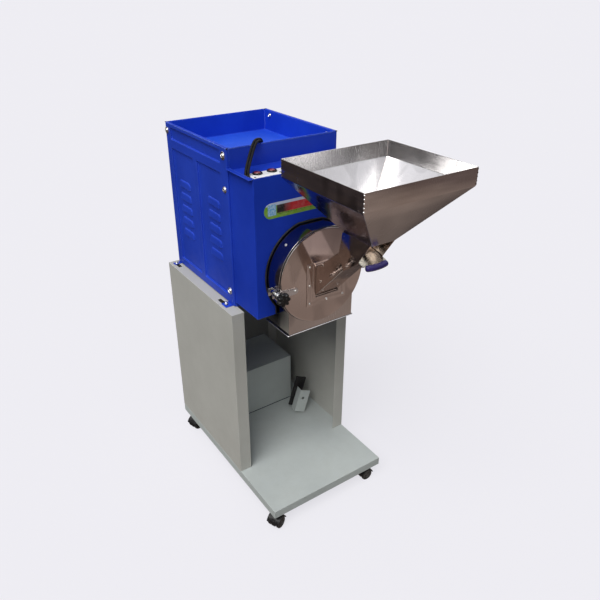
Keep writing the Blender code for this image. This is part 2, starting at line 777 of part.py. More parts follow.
def swinging_hammer(name, at, angle):
    """A bar with a rounded eye, hung on its pin and pointing outwards."""
    half_width, half_length_y = 14, 10.4
    hammer = box(
        name, both(half_width), both(half_length_y), (0, 56), STEEL_DARK, origin=(0, 0, 0)
    )
    eye = tool_rod(half_width, 2 * half_length_y, (0, 0, 0), segments=24)
    hole = tool_rod(PIN_R + 0.5, 60, (0, 0, 0), segments=16)
    join(hammer, eye)
    cut(hammer, hole)
    for piece in (eye, hole):
        piece.parent = hammer
    hammer.location = Vector(at) * MM
    hammer.rotation_euler = (0, angle, 0)


def edge_trim():
    """Black rubber trim where the drum leaves the front box."""
    trim_r = 2.2
    arc_r = DRUM_R + 3.4
    flat = DRUM_FLAT + 3.2
    side_x = CHUTE_HALF_W + 4.6
    y = BOX_Y[0] - GAP - trim_r
    # angles from straight down, where the arc meets the side and the flat
    start = math.asin(side_x / arc_r)
    end = math.pi - math.acos(flat / arc_r)
    left_half = [(-side_x, y, 690.0)]
    for k in range(21):
        a = start + (end - start) * k / 20
        left_half.append((-arc_r * math.sin(a), y, AXIS_Z - arc_r * math.cos(a)))
    right_half = [(-x, y, z) for x, y, z in reversed(left_half)]
    wire("edge_trim", left_half + right_half, trim_r, RUBBER)


chamber_shell()
chamber_back_plate()
half_round_screen()
rotor_with_hammers()
edge_trim()


# ---------------------------------------------------------------- door
def door_disc():
    """A disc with a latch strap, a hinge strap, a hinge eye and the inlet opening."""
    thickness = 2.0
    door = cylinder(
        "door_disc", DOOR_R, thickness, (0, DOOR_FACE_Y + thickness / 2, AXIS_Z),
        segments=72, material=STAINLESS, origin=HINGE,
    )
    strap_y = (STRAP_Y, DOOR_FACE_Y + 0.5)
    join(
        door,
        tool_box((KNOB_X - 13, -84), strap_y, around(KNOB_Z, 12)),
        tool_box((98, HINGE_X + 8), strap_y, around(AXIS_Z, 13)),
        tool_box((HINGE_X - 4, HINGE_X + 7.8), (STRAP_Y + 0.2, HINGE_Y), around(AXIS_Z, 6.8)),
        tool_rod(8.5, 13.8, HINGE, "Z", 24),
    )
    cut(
        door,
        tool_rod(4.4, 60, HINGE, "Z", 16),
        tool_rod(4.6, 30, (KNOB_X, DOOR_FACE_Y, KNOB_Z), segments=16),
        tool_box((-25.0, 48.0), around(DOOR_FACE_Y, 10), (748, 828)),
    )
    return door


def door_gasket():
    return turned(
        "door_gasket",
        [(131, 1), (138.2, 1), (138.2, -1), (131, -1)],
        (0, DOOR_FACE_Y + 2.0 + GAP + 1.0, AXIS_Z), material=RUBBER, steps=64, loop=True,
    )


def door_hinge_bracket():
    """A plate on the front box with two knuckles, above and below the door's eye, and a pin."""
    back = BOX_Y[0] - GAP
    bracket = box(
        "door_hinge_bracket",
        (HINGE_X - 3.5, HINGE_X + 17), (back - 3, back), around(AXIS_Z, 32), STAINLESS,
    )
    for side in (-1, 1):
        z = tuple(sorted((AXIS_Z + side * 7.3, AXIS_Z + side * 22.0)))
        knuckle_at = (HINGE_X, HINGE_Y, sum(z) / 2)
        join(
            bracket,
            tool_box((HINGE_X - 3.4, HINGE_X + 6), (HINGE_Y, back - 1), z),
            tool_rod(8.4, z[1] - z[0] - 0.1, knuckle_at, "Z", 24),
        )
    join(bracket, tool_rod(4.0, 48, HINGE, "Z", 16))


# latch: a lug on the drum takes the stud of a hand screw held captive in the door's strap
def latch_lug():
    lug = box(
        "latch_lug", (KNOB_X - 11, -141.4), (-116, -92), around(KNOB_Z, 11), STAINLESS
    )
    cut(lug, tool_rod(4.6, 60, (KNOB_X, -104, KNOB_Z), segments=16))


def knob_collar():
    """A ring between the knob and the strap."""
    front, back = -134.4, STRAP_Y - GAP
    half = (back - front) / 2
    return turned(
        "knob_collar",
        [(4.4, half), (8.0, half), (9.0, half - 1), (9.0, -half), (4.4, -half)],
        (KNOB_X, (front + back) / 2, KNOB_Z), material=ZINC, steps=24, loop=True,
    )


def star_knob():
    """A seven-lobed knob with a neck and a stud behind it."""
    lobes = 7
    count = lobes * 8
    mean_r, wave = 16.6, 3.0
    star = []
    for k in range(count):
        a = 2 * math.pi * k / count
        r = mean_r + wave * math.cos(lobes * a)
        star.append((r * math.cos(a), r * math.sin(a)))
    at = (KNOB_X, -151.0, KNOB_Z)
    knob = outline_plate("star_knob", star, 20.0, at, (math.pi / 2, 0, 0), BLACK)
    join(
        knob,
        tool_rod(9.5, 8.0, (KNOB_X, -138.7, KNOB_Z), segments=24),
        tool_rod(3.9, 40.0, (KNOB_X, -127.0, KNOB_Z), segments=16),
    )
    return knob


door_pivot = pivot("door_hinge_axis", HINGE)
swinging = [door_disc(), door_gasket()]
door_hinge_bracket()
latch_lug()
swinging += [knob_collar(), star_knob()]

# ---------------------------------------------------------------- inlet duct on the door
# lines in the YZ plane, as two (y, z) points from the door outwards
DUCT_BOTTOM = ((DOOR_FACE_Y - GAP, 746.0), (-255.0, 882.1))
DUCT_TOP = ((DOOR_FACE_Y - GAP, 830.0), (-235.5, 922.2))


def shift(line, sideways, longer=0.0):
    """A line in the YZ plane moved to its right, seen with y to the right and z up,
    and stretched at both ends."""
    start, end = Vector(line[0]), Vector(line[1])
    along = (end - start).normalized()
    right = Vector((along.y, -along.x))
    start = start + right * sideways - along * longer
    end = end + right * sideways + along * longer
    return tuple(start), tuple(end)


def duct_block(name, x, lines, material=None, home=CUTTERS):
    """A sloping block between a bottom and a top line."""
    return hexahedron(name, lambda i, j, k: (x[i], *lines[k][1 - j]), material, home)


def inlet_duct():
    """A rectangular duct that rises forwards from a flange on the door."""
    duct = duct_block("inlet_duct", INLET_X, (DUCT_BOTTOM, DUCT_TOP), STAINLESS, PARTS)
    flange_back = DOOR_FACE_Y - GAP
    join(duct, tool_box((-55, 78), (flange_back - 2.0, flange_back), (718, 846)))
    inner_lines = (shift(DUCT_BOTTOM, STEEL, 12.0), shift(DUCT_TOP, -STEEL, 12.0))
    cut(duct, duct_block("cutter_duct", inset(INLET_X, STEEL), inner_lines))
    return duct


# ---------------------------------------------------------------- hopper with its neck
# the neck's side outline, (y, z): back wall upwards, top forwards, front down, floor back
NECK = [(-227.0, 918.5), (-238.0, 971.5), (-342.0, 971.5), (-297.5, 906.5), (-245.0, 869.0)]


def height_on(line, y):
    """z at a given y on a line in the YZ plane."""
    (y0, z0), (y1, z1) = line
    return z0 + (y - y0) * (z1 - z0) / (y1 - y0)


def neck_inside():
    """The outline cut out of the neck: it runs past the open top, front and rear mouth."""
    back_line = shift((NECK[0], NECK[1]), -STEEL)
    floor_line = shift((NECK[4], NECK[3]), STEEL)
    (back_y, back_z), (back_top_y, _) = back_line
    floor_back_y = floor_line[0][0] + 14.0
    return [
        (back_y + 2.2, back_z - 11.0),
        (back_top_y, 970.0),
        (-356.0, 970.0),
        (-318.0, height_on(floor_line, -318.0)),
        (floor_back_y, height_on(floor_line, floor_back_y)),
    ]


def gate_z(y):
    """Height of the gate's middle plane."""
    return GATE_AT[2] + math.tan(GATE_SLOPE) * (y - GATE_AT[1])


def hopper_with_neck():
    """A rectangular tray that tapers to an outlet, with a neck below it."""
    hopper = loft_rects(
        "hopper",
        [
            (HOPPER_X, HOPPER_Y, HOPPER_TOP),
            (HOPPER_X, HOPPER_Y, HOPPER_TRAY_BOTTOM),
            (OUTLET_X, OUTLET_Y, OUTLET_Z),
        ],
        STAINLESS,
    )
    tray_x, tray_y = inset(HOPPER_X, STEEL), inset(HOPPER_Y, STEEL)
    slant = STEEL * 1.25  # the sheet's thickness measured level through the sloping sides
    hole_x, hole_y = inset(OUTLET_X, slant), inset(OUTLET_Y, slant)
    hollow = loft_rects(
        "cutter_hopper",
        [
            (tray_x, tray_y, HOPPER_TOP + 20),
            (tray_x, tray_y, HOPPER_TRAY_BOTTOM + 0.6),
            (hole_x, hole_y, OUTLET_Z - 0.4),
            (hole_x, hole_y, OUTLET_Z - 6.0),
        ],
        home=CUTTERS,
    )
    inner_x = inset(NECK_X, STEEL)
    join(hopper, prism_x("neck_outside", NECK, NECK_X))
    cut(hopper, hollow, prism_x("neck_inside", neck_inside(), inner_x))
    # runners under the gate, on the neck's side walls
    y, below_gate = (-294.0, -246.0), (3.4, 1.4)
    for x in ((inner_x[0] - 0.5, inner_x[0] + 3), (inner_x[1] - 3, inner_x[1] + 0.5)):
        runner = hexahedron(
            "gate_runner", lambda i, j, k: (x[i], y[j], gate_z(y[j]) - below_gate[k])
        )
        join(hopper, runner)
    return hopper


# ---------------------------------------------------------------- feed gate and its grip
GATE_W = 75.0
GATE_BACK, GATE_FRONT = 69.0, 24.0  # reach behind and in front of GATE_AT
GATE_ROTATION = (GATE_SLOPE, 0, 0)


def bulge(t):
    """How far the front edge bows out at a fraction t of its width."""
    return 6.0 * 4 * t * (1 - t)


def gate_outline(width, front):
    half = width / 2
    points = [(-half, GATE_BACK), (-half, 9 - front), (-half + 1.4, 4 - front)]
    for k in range(1, 12):
        t = k / 12
        points.append((-half + width * t, -front - bulge(t)))
    return points + [(half - 1.4, 4 - front), (half, 9 - front), (half, GATE_BACK)]


def feed_gate():
    outline = gate_outline(GATE_W, GATE_FRONT)
    return outline_plate("feed_gate", outline, 1.5, GATE_AT, GATE_ROTATION, STAINLESS)


def gate_grip():
    """A round bar along the gate's bowed front edge, slotted for the gate."""
    width = 68.0
    to_world = Matrix.Translation(Vector(GATE_AT)) @ Euler(GATE_ROTATION).to_matrix().to_4x4()
    points = []
    for k in range(13):
        x = width * (k / 12 - 0.5)
        y = -GATE_FRONT + 0.5 - bulge(x / GATE_W + 0.5)
        points.append(to_world @ Vector((x, y, -2.6)))
    grip = wire("gate_grip", points, 8.2, INDIGO, resolution=2)
    outline = gate_outline(GATE_W + 0.8, GATE_FRONT + 0.4)
    cut(grip, outline_plate("cutter_gate", outline, 2.1, GATE_AT, GATE_ROTATION, home=CUTTERS))
    return grip


swinging += [inlet_duct(), hopper_with_neck(), feed_gate(), gate_grip()]
for swinging_piece in swinging:
    hang(swinging_piece, door_pivot)
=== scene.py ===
"""A hammer mill: a grey stand on casters, a blue casing with louvred side covers and a tray on
top, and a round steel chamber whose door carries the inlet duct, under a square hopper.

+Z is up and the floor is z = 0. The front faces -Y and the left side is at -X. The rotor's axis
runs along Y. Meshes are built in millimetres and scaled to metres as they are added; materials,
lights and the camera are in metres.
"""

import json
import math

import bmesh
import bpy
from mathutils import Matrix, Vector

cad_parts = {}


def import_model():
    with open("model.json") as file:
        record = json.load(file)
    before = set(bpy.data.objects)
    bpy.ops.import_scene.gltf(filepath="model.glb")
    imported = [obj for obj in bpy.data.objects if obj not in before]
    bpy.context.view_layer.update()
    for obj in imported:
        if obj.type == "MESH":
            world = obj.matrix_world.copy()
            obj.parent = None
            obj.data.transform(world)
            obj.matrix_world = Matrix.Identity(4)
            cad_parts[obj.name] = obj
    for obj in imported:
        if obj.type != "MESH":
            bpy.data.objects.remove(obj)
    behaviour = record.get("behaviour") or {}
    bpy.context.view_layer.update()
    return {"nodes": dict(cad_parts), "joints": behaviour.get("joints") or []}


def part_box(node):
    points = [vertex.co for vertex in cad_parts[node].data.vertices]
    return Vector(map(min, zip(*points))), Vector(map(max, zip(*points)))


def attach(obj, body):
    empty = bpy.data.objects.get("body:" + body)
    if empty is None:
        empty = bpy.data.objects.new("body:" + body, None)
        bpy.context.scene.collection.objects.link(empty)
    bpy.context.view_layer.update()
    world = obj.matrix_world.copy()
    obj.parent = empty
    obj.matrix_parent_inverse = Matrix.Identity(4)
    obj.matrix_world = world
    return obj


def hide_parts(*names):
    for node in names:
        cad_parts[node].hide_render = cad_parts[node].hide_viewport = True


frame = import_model()
NODES = frame["nodes"]
JOINTS = {joint["name"]: joint for joint in frame["joints"]}
MM = 0.001
SCENE = bpy.context.scene

# ---------------------------------------------------------------- driving dimensions (mm)


def corners(node):
    """A node's lowest and highest corners."""
    low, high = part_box(node)
    return [c / MM for c in low], [c / MM for c in high]


def joint_place(name):
    return [c / MM for c in JOINTS[name]["pos_m"]]


COVER_LOW, COVER_HIGH = corners("right_side_cover")
BOX_LOW, BOX_HIGH = corners("front_box")
TRAY_LOW, TRAY_HIGH = corners("top_tray")
HOPPER_LOW, HOPPER_HIGH = corners("hopper")
PLATE_LOW, PLATE_HIGH = corners("control_plate")
LUG_LOW, LUG_HIGH = corners("latch_lug")

AXIS_Z = joint_place("rotor_spin")[2]
HINGE_X, HINGE_Y, _ = joint_place("door_swing")
KNOB_X, _, KNOB_Z = joint_place("knob_turn")
BOX_HALF = 172.0  # half the front box's width
BOX_FRONT = BOX_LOW[1]
PLATE_TOP = PLATE_HIGH[2]
DRUM_R, DRUM_FLAT = 141.0, 136.5  # the drum's radius, and the height of its flat top over the axis
CHUTE_HALF = 109.5
CHUTE_BOTTOM = corners("chamber_shell")[0][2]
DOOR_R = 137.5
DOOR_FACE = -126.3

FORWARD, BACKWARD = math.pi / 2, -math.pi / 2  # tilts about X that carry +Z to -Y and to +Y

# ---------------------------------------------------------------- shader tools


class Shader:
    """The node tree of a material or a world while it is being built."""

    def __init__(self, owner):
        self.owner = owner
        owner.use_nodes = True
        self.tree = owner.node_tree
        self.tree.nodes.clear()
        self.coords = None

    def put(self, socket, value):
        if isinstance(value, bpy.types.NodeSocket):
            self.tree.links.new(value, socket)
        else:
            socket.default_value = value

    def node(self, kind, inputs=None, **settings):
        node = self.tree.nodes.new("ShaderNode" + kind)
        for key, value in settings.items():
            setattr(node, key, value)
        for key, value in (inputs or {}).items():
            self.put(node.inputs[key], value)
        return node

    def obj(self):
        if self.coords is None:
            self.coords = self.node("TexCoord").outputs["Object"]
        return self.coords

    def axis(self, vector, index):
        return self.node("SeparateXYZ", {0: vector}).outputs[index]

    def noise(self, scale=1.0, detail=3.0, rough=0.5, distortion=0.0, stretch=None):
        vector = self.obj()
        if stretch:
            vector = self.node("Mapping", {"Vector": vector, "Scale": stretch}).outputs[0]
        inputs = {"Vector": vector, "Scale": scale, "Detail": detail, "Roughness": rough}
        return self.node("TexNoise", {**inputs, "Distortion": distortion}).outputs["Fac"]

    def span(self, value, low, high, to=(0.0, 1.0)):
        """Carry the range low..high onto the range `to`."""
        inputs = {"Value": value, "From Min": low, "From Max": high}
        return self.node("MapRange", {**inputs, "To Min": to[0], "To Max": to[1]}).outputs[0]

    def mask(self, low, high, to=(0.0, 1.0), **noise):
        return self.span(self.noise(**noise), low, high, to)

    def step(self, value, place, width=0.0004):
        return self.span(value, place - width, place + width)

    def math(self, operation, first, second=0.0):
        return self.node("Math", {0: first, 1: second}, operation=operation).outputs[0]

    def times(self, first, second):
        return self.math("MULTIPLY", first, second)

    def mix(self, factor, below, above):
        inputs = {0: factor, 6: below, 7: above}
        for key, value in inputs.items():
            if isinstance(value, tuple):
                inputs[key] = (*value, 1.0)
        return self.node("Mix", inputs, data_type="RGBA").outputs[2]

    def over(self, colour, paint_colour, mask, share):
        """Lay a second colour over the first, where the mask is, at a share of its strength."""
        return self.mix(self.times(mask, share), colour, paint_colour)

    def edge(self, radius_mm):
        """About 1 on sharp edges and 0 on flats."""
        bevel = self.node("Bevel", {"Radius": radius_mm * MM}, samples=4)
        normal = self.node("NewGeometry").outputs["Normal"]
        dot = self.node("VectorMath", {0: bevel.outputs[0], 1: normal}, operation="DOT_PRODUCT")
        return self.span(self.math("SUBTRACT", 1.0, dot.outputs["Value"]), low=0.02, high=0.22)

    def bump(self, height, strength, distance_mm, normal=None):
        inputs = {"Height": height, "Strength": strength, "Distance": distance_mm * MM}
        if normal is not None:
            inputs["Normal"] = normal
        return self.node("Bump", inputs).outputs[0]

    def finish(self, **inputs):
        """Close the material with a Principled shader; underscores stand for spaces."""
        named = {key.replace("_", " "): value for key, value in inputs.items()}
        surface = self.node("BsdfPrincipled", named).outputs[0]
        self.node("OutputMaterial", {"Surface": surface})
        return self.owner


def new_shader(name):
    return Shader(bpy.data.materials.new(name))


def srgb(*levels):
    """A linear colour from 0-255 sRGB levels."""

    def linear(c):
        c /= 255.0
        return c / 12.92 if c <= 0.04045 else ((c + 0.055) / 1.055) ** 2.4

    return tuple(linear(level) for level in levels)


def darker(colour, share):
    return tuple(c * share for c in colour)


def lighter(colour, gain):
    return tuple(min(1.0, c * gain + 0.03) for c in colour)


# ---------------------------------------------------------------- kinds of material


def paint(
    name, dark, light, edge, rough=(0.3, 0.42), peel=0.10, speck=0.12, edge_lightening=0.55, edge_lightening_mm=1.6,
    grime=0.0, specular=0.22,
):
    """Sprayed paint: mottled dark to light, with dust specks, pale edges and orange peel. The pale
    edges are partly worn paint and partly a painted highlight along the edges.
    """
    mat = new_shader(name)
    mottle = mat.mask(scale=5.0, detail=4.0, rough=0.55, low=0.35, high=0.68)
    colour = mat.mix(mottle, dark, light)
    dust = mat.mask(scale=420.0, detail=2.0, rough=0.6, low=0.62, high=0.74)
    dust = mat.times(dust, mat.mask(scale=14.0, low=0.42, high=0.7))
    colour = mat.over(colour, lighter(light, gain=1.5), dust, speck)
    if grime:
        foot = mat.span(mat.axis(mat.obj(), 2), low=0.05, high=0.24, to=(1.0, 0.0))
        patches = mat.mask(scale=22.0, detail=5.0, rough=0.65, low=0.38, high=0.72)
        colour = mat.over(colour, (0.19, 0.17, 0.14), mat.times(foot, patches), grime)
        drips = mat.mask(detail=4.0, rough=0.6, stretch=(46.0, 46.0, 3.0), low=0.56, high=0.8)
        colour = mat.over(colour, (0.24, 0.22, 0.18), drips, grime * 0.35)
    # Pale edges: partly worn paint, partly a painted edge highlight.
    edge_mask = mat.edge(edge_lightening_mm)
    worn_and_lit_edges = mat.times(edge_mask, mat.mask(scale=60.0, low=0.3, high=0.6, to=(0.45, 1.0)))
    colour = mat.over(colour, edge, worn_and_lit_edges, edge_lightening)
    roughness = mat.mask(scale=30.0, low=0.3, high=0.7, to=rough)
    normal = mat.bump(mat.noise(scale=900.0, detail=2.0), strength=peel, distance_mm=0.12)
    ripple = mat.noise(scale=7.0, detail=2.0)
    normal = mat.bump(ripple, strength=0.10, distance_mm=0.8, normal=normal)
    return mat.finish(
        Base_Color=colour, Roughness=roughness, Normal=normal,
        Coat_Weight=0.0, Coat_Roughness=0.25, Specular_IOR_Level=specular,
    )


def steel(
    name, base, tint, rough=(0.07, 0.16), brush=None, brush_bump=0.05, wave=0.25, wave_scale=6.0,
    edge=(0.95, 0.94, 0.93), smudge=0.5, painted_reflection_bands=None, painted_reflection_share=0.0, painted_dark_patch=None,
):
    """Steel sheet: broad waves, fine brushed lines, hand smudges and bright edges, which are partly
    bare cut metal and partly a painted edge highlight.

    brush and painted_reflection_bands are noise scales along X, Y and Z; the bands lay dark streaks of
    painted reflection. painted_dark_patch is one soft ellipsoid of painted darkening, shade on the
    chute and a dark reflection on the door: its centre and reach in metres, its colour and its share.
    """
    mat = new_shader(name)
    colour = mat.mix(mat.mask(scale=4.0, low=0.35, high=0.65), base, tint)
    marks = mat.mask(scale=26.0, detail=5.0, rough=0.7, distortion=0.6, low=0.5, high=0.75)
    colour = mat.over(colour, darker(base, 0.72), marks, smudge * 0.35)
    # Dark streaks of painted reflection.
    if painted_reflection_bands:
        reflection_streaks = mat.mask(detail=1.0, rough=0.4, stretch=painted_reflection_bands, low=0.50, high=0.54)
        colour = mat.over(colour, darker(base, 0.22), reflection_streaks, painted_reflection_share)
    # A soft patch of painted darkening: shade on the chute, a dark reflection on the door.
    if painted_dark_patch:
        centre, reach, dark_patch_colour, share = painted_dark_patch
        place = mat.node("SeparateXYZ", {0: mat.obj()})
        squares = None
        for k in range(3):
            offset = mat.math("SUBTRACT", place.outputs[k], centre[k])
            offset = mat.math("DIVIDE", offset, reach[k])
            square = mat.times(offset, offset)
            squares = square if squares is None else mat.math("ADD", squares, square)
        near = mat.span(squares, low=1.0, high=0.15)
        colour = mat.over(colour, dark_patch_colour, near, share)
    # Bright edges: partly bare cut metal, partly a painted edge highlight.
    colour = mat.over(colour, edge, mat.edge(radius_mm=1.2), 0.75)
    roughness = mat.mask(scale=12.0, detail=4.0, rough=0.6, low=0.35, high=0.7, to=rough)
    roughness = mat.math("ADD", roughness, mat.times(marks, 0.06 * smudge))
    waves = mat.noise(scale=wave_scale, detail=1.0, rough=0.3)
    normal = mat.bump(waves, strength=wave, distance_mm=0.75)
    if brush:
        lines = mat.noise(detail=3.0, rough=0.6, stretch=brush)
        normal = mat.bump(lines, strength=brush_bump, distance_mm=0.02, normal=normal)
        uneven = mat.span(lines, low=0.3, high=0.7, to=(-0.02, 0.05))
        roughness = mat.math("ADD", roughness, uneven)
    scratches = mat.mask(detail=2.0, stretch=(900.0, 60.0, 35.0), low=0.64, high=0.7)
    roughness = mat.math("ADD", roughness, mat.times(scratches, 0.12))
    return mat.finish(Base_Color=colour, Metallic=1.0, Roughness=roughness, Normal=normal)


def plastic(
    name, base, light, rough, grain=700.0, strength=0.2, edge_lightening=0.4, specular=0.5, coat=0.0
):
    """Moulded plastic or rubber: a fine grain, a little dust and paler edges."""
    mat = new_shader(name)
    colour = mat.mix(mat.mask(scale=35.0, detail=4.0, low=0.4, high=0.75), base, light)
    dust = mat.mask(scale=520.0, detail=2.0, low=0.6, high=0.72)
    colour = mat.over(colour, (0.35, 0.33, 0.31), dust, 0.18)
    colour = mat.over(colour, lighter(light, gain=3.0), mat.edge(radius_mm=0.8), edge_lightening)
    roughness = mat.mask(scale=60.0, low=0.3, high=0.7, to=rough)
    normal = mat.bump(mat.noise(scale=grain), strength=strength, distance_mm=0.08)
    return mat.finish(
        Base_Color=colour, Roughness=roughness, Normal=normal,
        Specular_IOR_Level=specular, Coat_Weight=coat,
    )


def shadow(name):
    """Near black, for gaps and the mouths of the louvres."""
    mat = new_shader(name)
    colour = mat.mix(mat.noise(scale=60.0), (0.004, 0.006, 0.02), (0.008, 0.01, 0.035))
    return mat.finish(Base_Color=colour, Roughness=0.9)


# ---------------------------------------------------------------- materials

# Pale edge blue for the casing: worn paint and a painted edge highlight.
CASING_EDGE = srgb(104, 138, 240)
BLUE_SIDE = paint(
    "casing_blue", dark=srgb(28, 60, 178), light=srgb(35, 69, 194), edge=CASING_EDGE,
    rough=(0.34, 0.46), edge_lightening=0.7,
)
# The tray's strong pale rims: worn paint and a painted highlight along the rims.
BLUE_TRAY = paint(
    "tray_blue", dark=srgb(20, 56, 184), light=srgb(28, 70, 206), edge=srgb(150, 178, 255),
    rough=(0.36, 0.5), speck=0.14, edge_lightening=1.0, edge_lightening_mm=3.0, specular=0.1,
)
# A lighter copy of the tray blue for the up-facing floor: painted light from above.
BLUE_FLOOR_LIT = paint(
    "tray_floor_blue_painted_light", dark=srgb(34, 76, 200), light=srgb(46, 92, 222), edge=srgb(130, 160, 250),
    rough=(0.36, 0.5), speck=0.14, edge_lightening=0.6, specular=0.15,
)
# A slightly darker copy of the casing blue for the front box: painted shade.
BLUE_BOX_SHADED = paint(
    "front_box_blue_painted_shade", dark=srgb(27, 56, 172), light=srgb(33, 64, 188), edge=CASING_EDGE,
    rough=(0.4, 0.5), edge_lightening=0.7, specular=0.05,
)
STAND = dict(rough=(0.45, 0.6), peel=0.16)
GREY = paint(
    "stand_grey", dark=srgb(180, 180, 175), light=srgb(187, 187, 182), edge=srgb(226, 228, 222),
    speck=0.2, edge_lightening=0.6, grime=0.14, **STAND,
)
# A cooler copy of the stand grey for the platform: painted cool light from the sky.
GREY_TOP_SKYLIT = paint(
    "platform_grey_painted_skylight", dark=srgb(177, 184, 184), light=srgb(185, 192, 191),
    edge=srgb(226, 230, 226), speck=0.2, edge_lightening=0.5, grime=0.10, **STAND,
)
# A darker copy of the stand grey for the back panel: painted shade inside the bay.
GREY_BACK_SHADED = paint(
    "stand_back_grey_painted_shade", dark=srgb(132, 132, 130), light=srgb(142, 142, 139),
    edge=srgb(190, 190, 186), rough=(0.5, 0.65), peel=0.16, grime=0.2,
)
GREY_BOX = paint(
    "stand_box_grey", dark=srgb(180, 187, 186), light=srgb(188, 195, 194),
    edge=srgb(226, 228, 224), grime=0.12, **STAND,
)
WHITE = paint(
    "control_white", dark=srgb(226, 226, 228), light=srgb(238, 238, 240),
    edge=srgb(250, 250, 250), rough=(0.3, 0.4), peel=0.05, speck=0.15,
)

HOPPER_SHEET = dict(brush=(14.0, 14.0, 1500.0), wave_scale=5.0)
HOPPER_STEEL = steel(
    "hopper_steel", base=(0.60, 0.55, 0.52), tint=(0.52, 0.465, 0.43), rough=(0.10, 0.2),
    wave=0.35, **HOPPER_SHEET,
)
# Copies of the hopper steel with painted reflections, given to faces by direction: darker on the left
# faces, bluish where those faces turn down, bright on the upright walls inside and lighter on the
# inside slopes.
HOPPER_LEFT_REFLECTION = steel(
    "hopper_left_painted_reflection", base=(0.58, 0.52, 0.51), tint=(0.42, 0.375, 0.38), rough=(0.12, 0.2),
    wave=0.3, painted_reflection_bands=(11.0, 11.0, 4.0), painted_reflection_share=0.6, **HOPPER_SHEET,
)
HOPPER_UNDER_REFLECTION = steel(
    "hopper_underside_painted_reflection", base=(0.36, 0.35, 0.47), tint=(0.24, 0.235, 0.33),
    rough=(0.1, 0.18), wave=0.3, painted_reflection_bands=(13.0, 13.0, 3.0), painted_reflection_share=0.45, **HOPPER_SHEET,
)
HOPPER_IN_REFLECTION = steel(
    "hopper_inside_painted_reflection", base=(0.86, 0.85, 0.85), tint=(0.78, 0.77, 0.77), rough=(0.12, 0.22),
    wave=0.3, painted_reflection_bands=(5.0, 5.0, 5.0), painted_reflection_share=0.3, **HOPPER_SHEET,
)
HOPPER_SLOPE_REFLECTION = steel(
    "hopper_slope_painted_reflection", base=(0.76, 0.745, 0.75), tint=(0.68, 0.665, 0.67),
    rough=(0.14, 0.24), wave=0.2, painted_reflection_bands=(16.0, 16.0, 2.0), painted_reflection_share=0.16, **HOPPER_SHEET,
)
# Painted shade: a dark soft patch on the chute's left wall where it meets the front box.
CHUTE_PAINTED_SHADE = (
    (-CHUTE_HALF * MM, BOX_FRONT * MM, (CHUTE_BOTTOM + 75.0) * MM),
    (0.05, 0.075, 0.095), (0.03, 0.03, 0.035), 0.95,
)
DRUM_STEEL = steel(
    "drum_steel", base=(0.66, 0.62, 0.60), tint=(0.56, 0.52, 0.49), rough=(0.08, 0.16),
    brush=(12.0, 1400.0, 12.0), wave=0.3, wave_scale=7.0, painted_dark_patch=CHUTE_PAINTED_SHADE,
)
# A darker, bluish copy of the drum steel for the band's upper faces: painted dark reflection.
BAND_REFLECTION_STEEL = steel(
    "drum_band_painted_reflection", base=(0.30, 0.29, 0.33), tint=(0.22, 0.21, 0.25), rough=(0.09, 0.16),
    brush=(12.0, 1400.0, 12.0), wave=0.15, wave_scale=7.0,
)
# Painted dark reflection over the upper part of the door.
DOOR_PAINTED_REFLECTION = (
    (0.02, -0.3, (AXIS_Z + 112.0) * MM), (0.14, 9.0, 0.075), (0.26, 0.22, 0.24), 0.6
)
DOOR_STEEL = steel(
    "door_steel", base=(0.66, 0.58, 0.54), tint=(0.58, 0.50, 0.46), rough=(0.07, 0.14),
    brush=(1300.0, 20.0, 16.0), brush_bump=0.03, wave=0.35, wave_scale=4.5,
    painted_reflection_bands=(9.0, 9.0, 6.0), painted_reflection_share=0.22, painted_dark_patch=DOOR_PAINTED_REFLECTION,
)
DUCT_STEEL = steel(
    "duct_steel", base=(0.58, 0.49, 0.44), tint=(0.48, 0.39, 0.34), rough=(0.08, 0.16),
    brush=(14.0, 900.0, 14.0), wave=0.4, wave_scale=8.0,
)
GATE_STEEL = steel(
    "gate_steel", base=(0.40, 0.38, 0.33), tint=(0.30, 0.29, 0.25), rough=(0.12, 0.2),
    brush=(1200.0, 14.0, 14.0), wave=0.12,
)
RIM_DARK = steel(
    "outlet_rim_top", base=(0.09, 0.09, 0.10), tint=(0.06, 0.06, 0.07), rough=(0.2, 0.3),
    wave=0.1, edge=(0.3, 0.3, 0.3),
)
BRACKET_STEEL = steel(
    "bracket_steel", base=(0.72, 0.73, 0.75), tint=(0.62, 0.63, 0.66), rough=(0.16, 0.28),
    brush=(600.0, 12.0, 12.0), wave=0.15, wave_scale=40.0,
)
SCREEN_STEEL = steel(
    "screen_steel", base=(0.5, 0.5, 0.5), tint=(0.42, 0.41, 0.4), rough=(0.25, 0.4),
    brush=(12.0, 800.0, 12.0),
)
ZINC = steel(
    "zinc_plate", base=(0.74, 0.74, 0.72), tint=(0.62, 0.62, 0.60), rough=(0.18, 0.34),
    wave=0.2, wave_scale=120.0, smudge=0.8,
)
ROTOR_STEEL = steel(
    "rotor_steel", base=(0.36, 0.35, 0.35), tint=(0.28, 0.27, 0.26), rough=(0.28, 0.42),
    brush=(700.0, 700.0, 14.0), wave=0.1,
)
HAMMER_STEEL = steel(
    "hammer_steel", base=(0.24, 0.22, 0.21), tint=(0.17, 0.15, 0.15), rough=(0.34, 0.5),
    wave=0.3, wave_scale=60.0, edge=(0.7, 0.68, 0.66),
)
BEARING_STEEL = steel(
    "bearing_steel", base=(0.7, 0.7, 0.71), tint=(0.6, 0.6, 0.62), rough=(0.1, 0.18),
    brush=(10.0, 900.0, 10.0), wave=0.1,
)
MOTOR_PAINT = paint(
    "motor_enamel", dark=srgb(74, 88, 98), light=srgb(88, 102, 112), edge=srgb(150, 160, 166),
    rough=(0.4, 0.55), peel=0.25, speck=0.3,
)

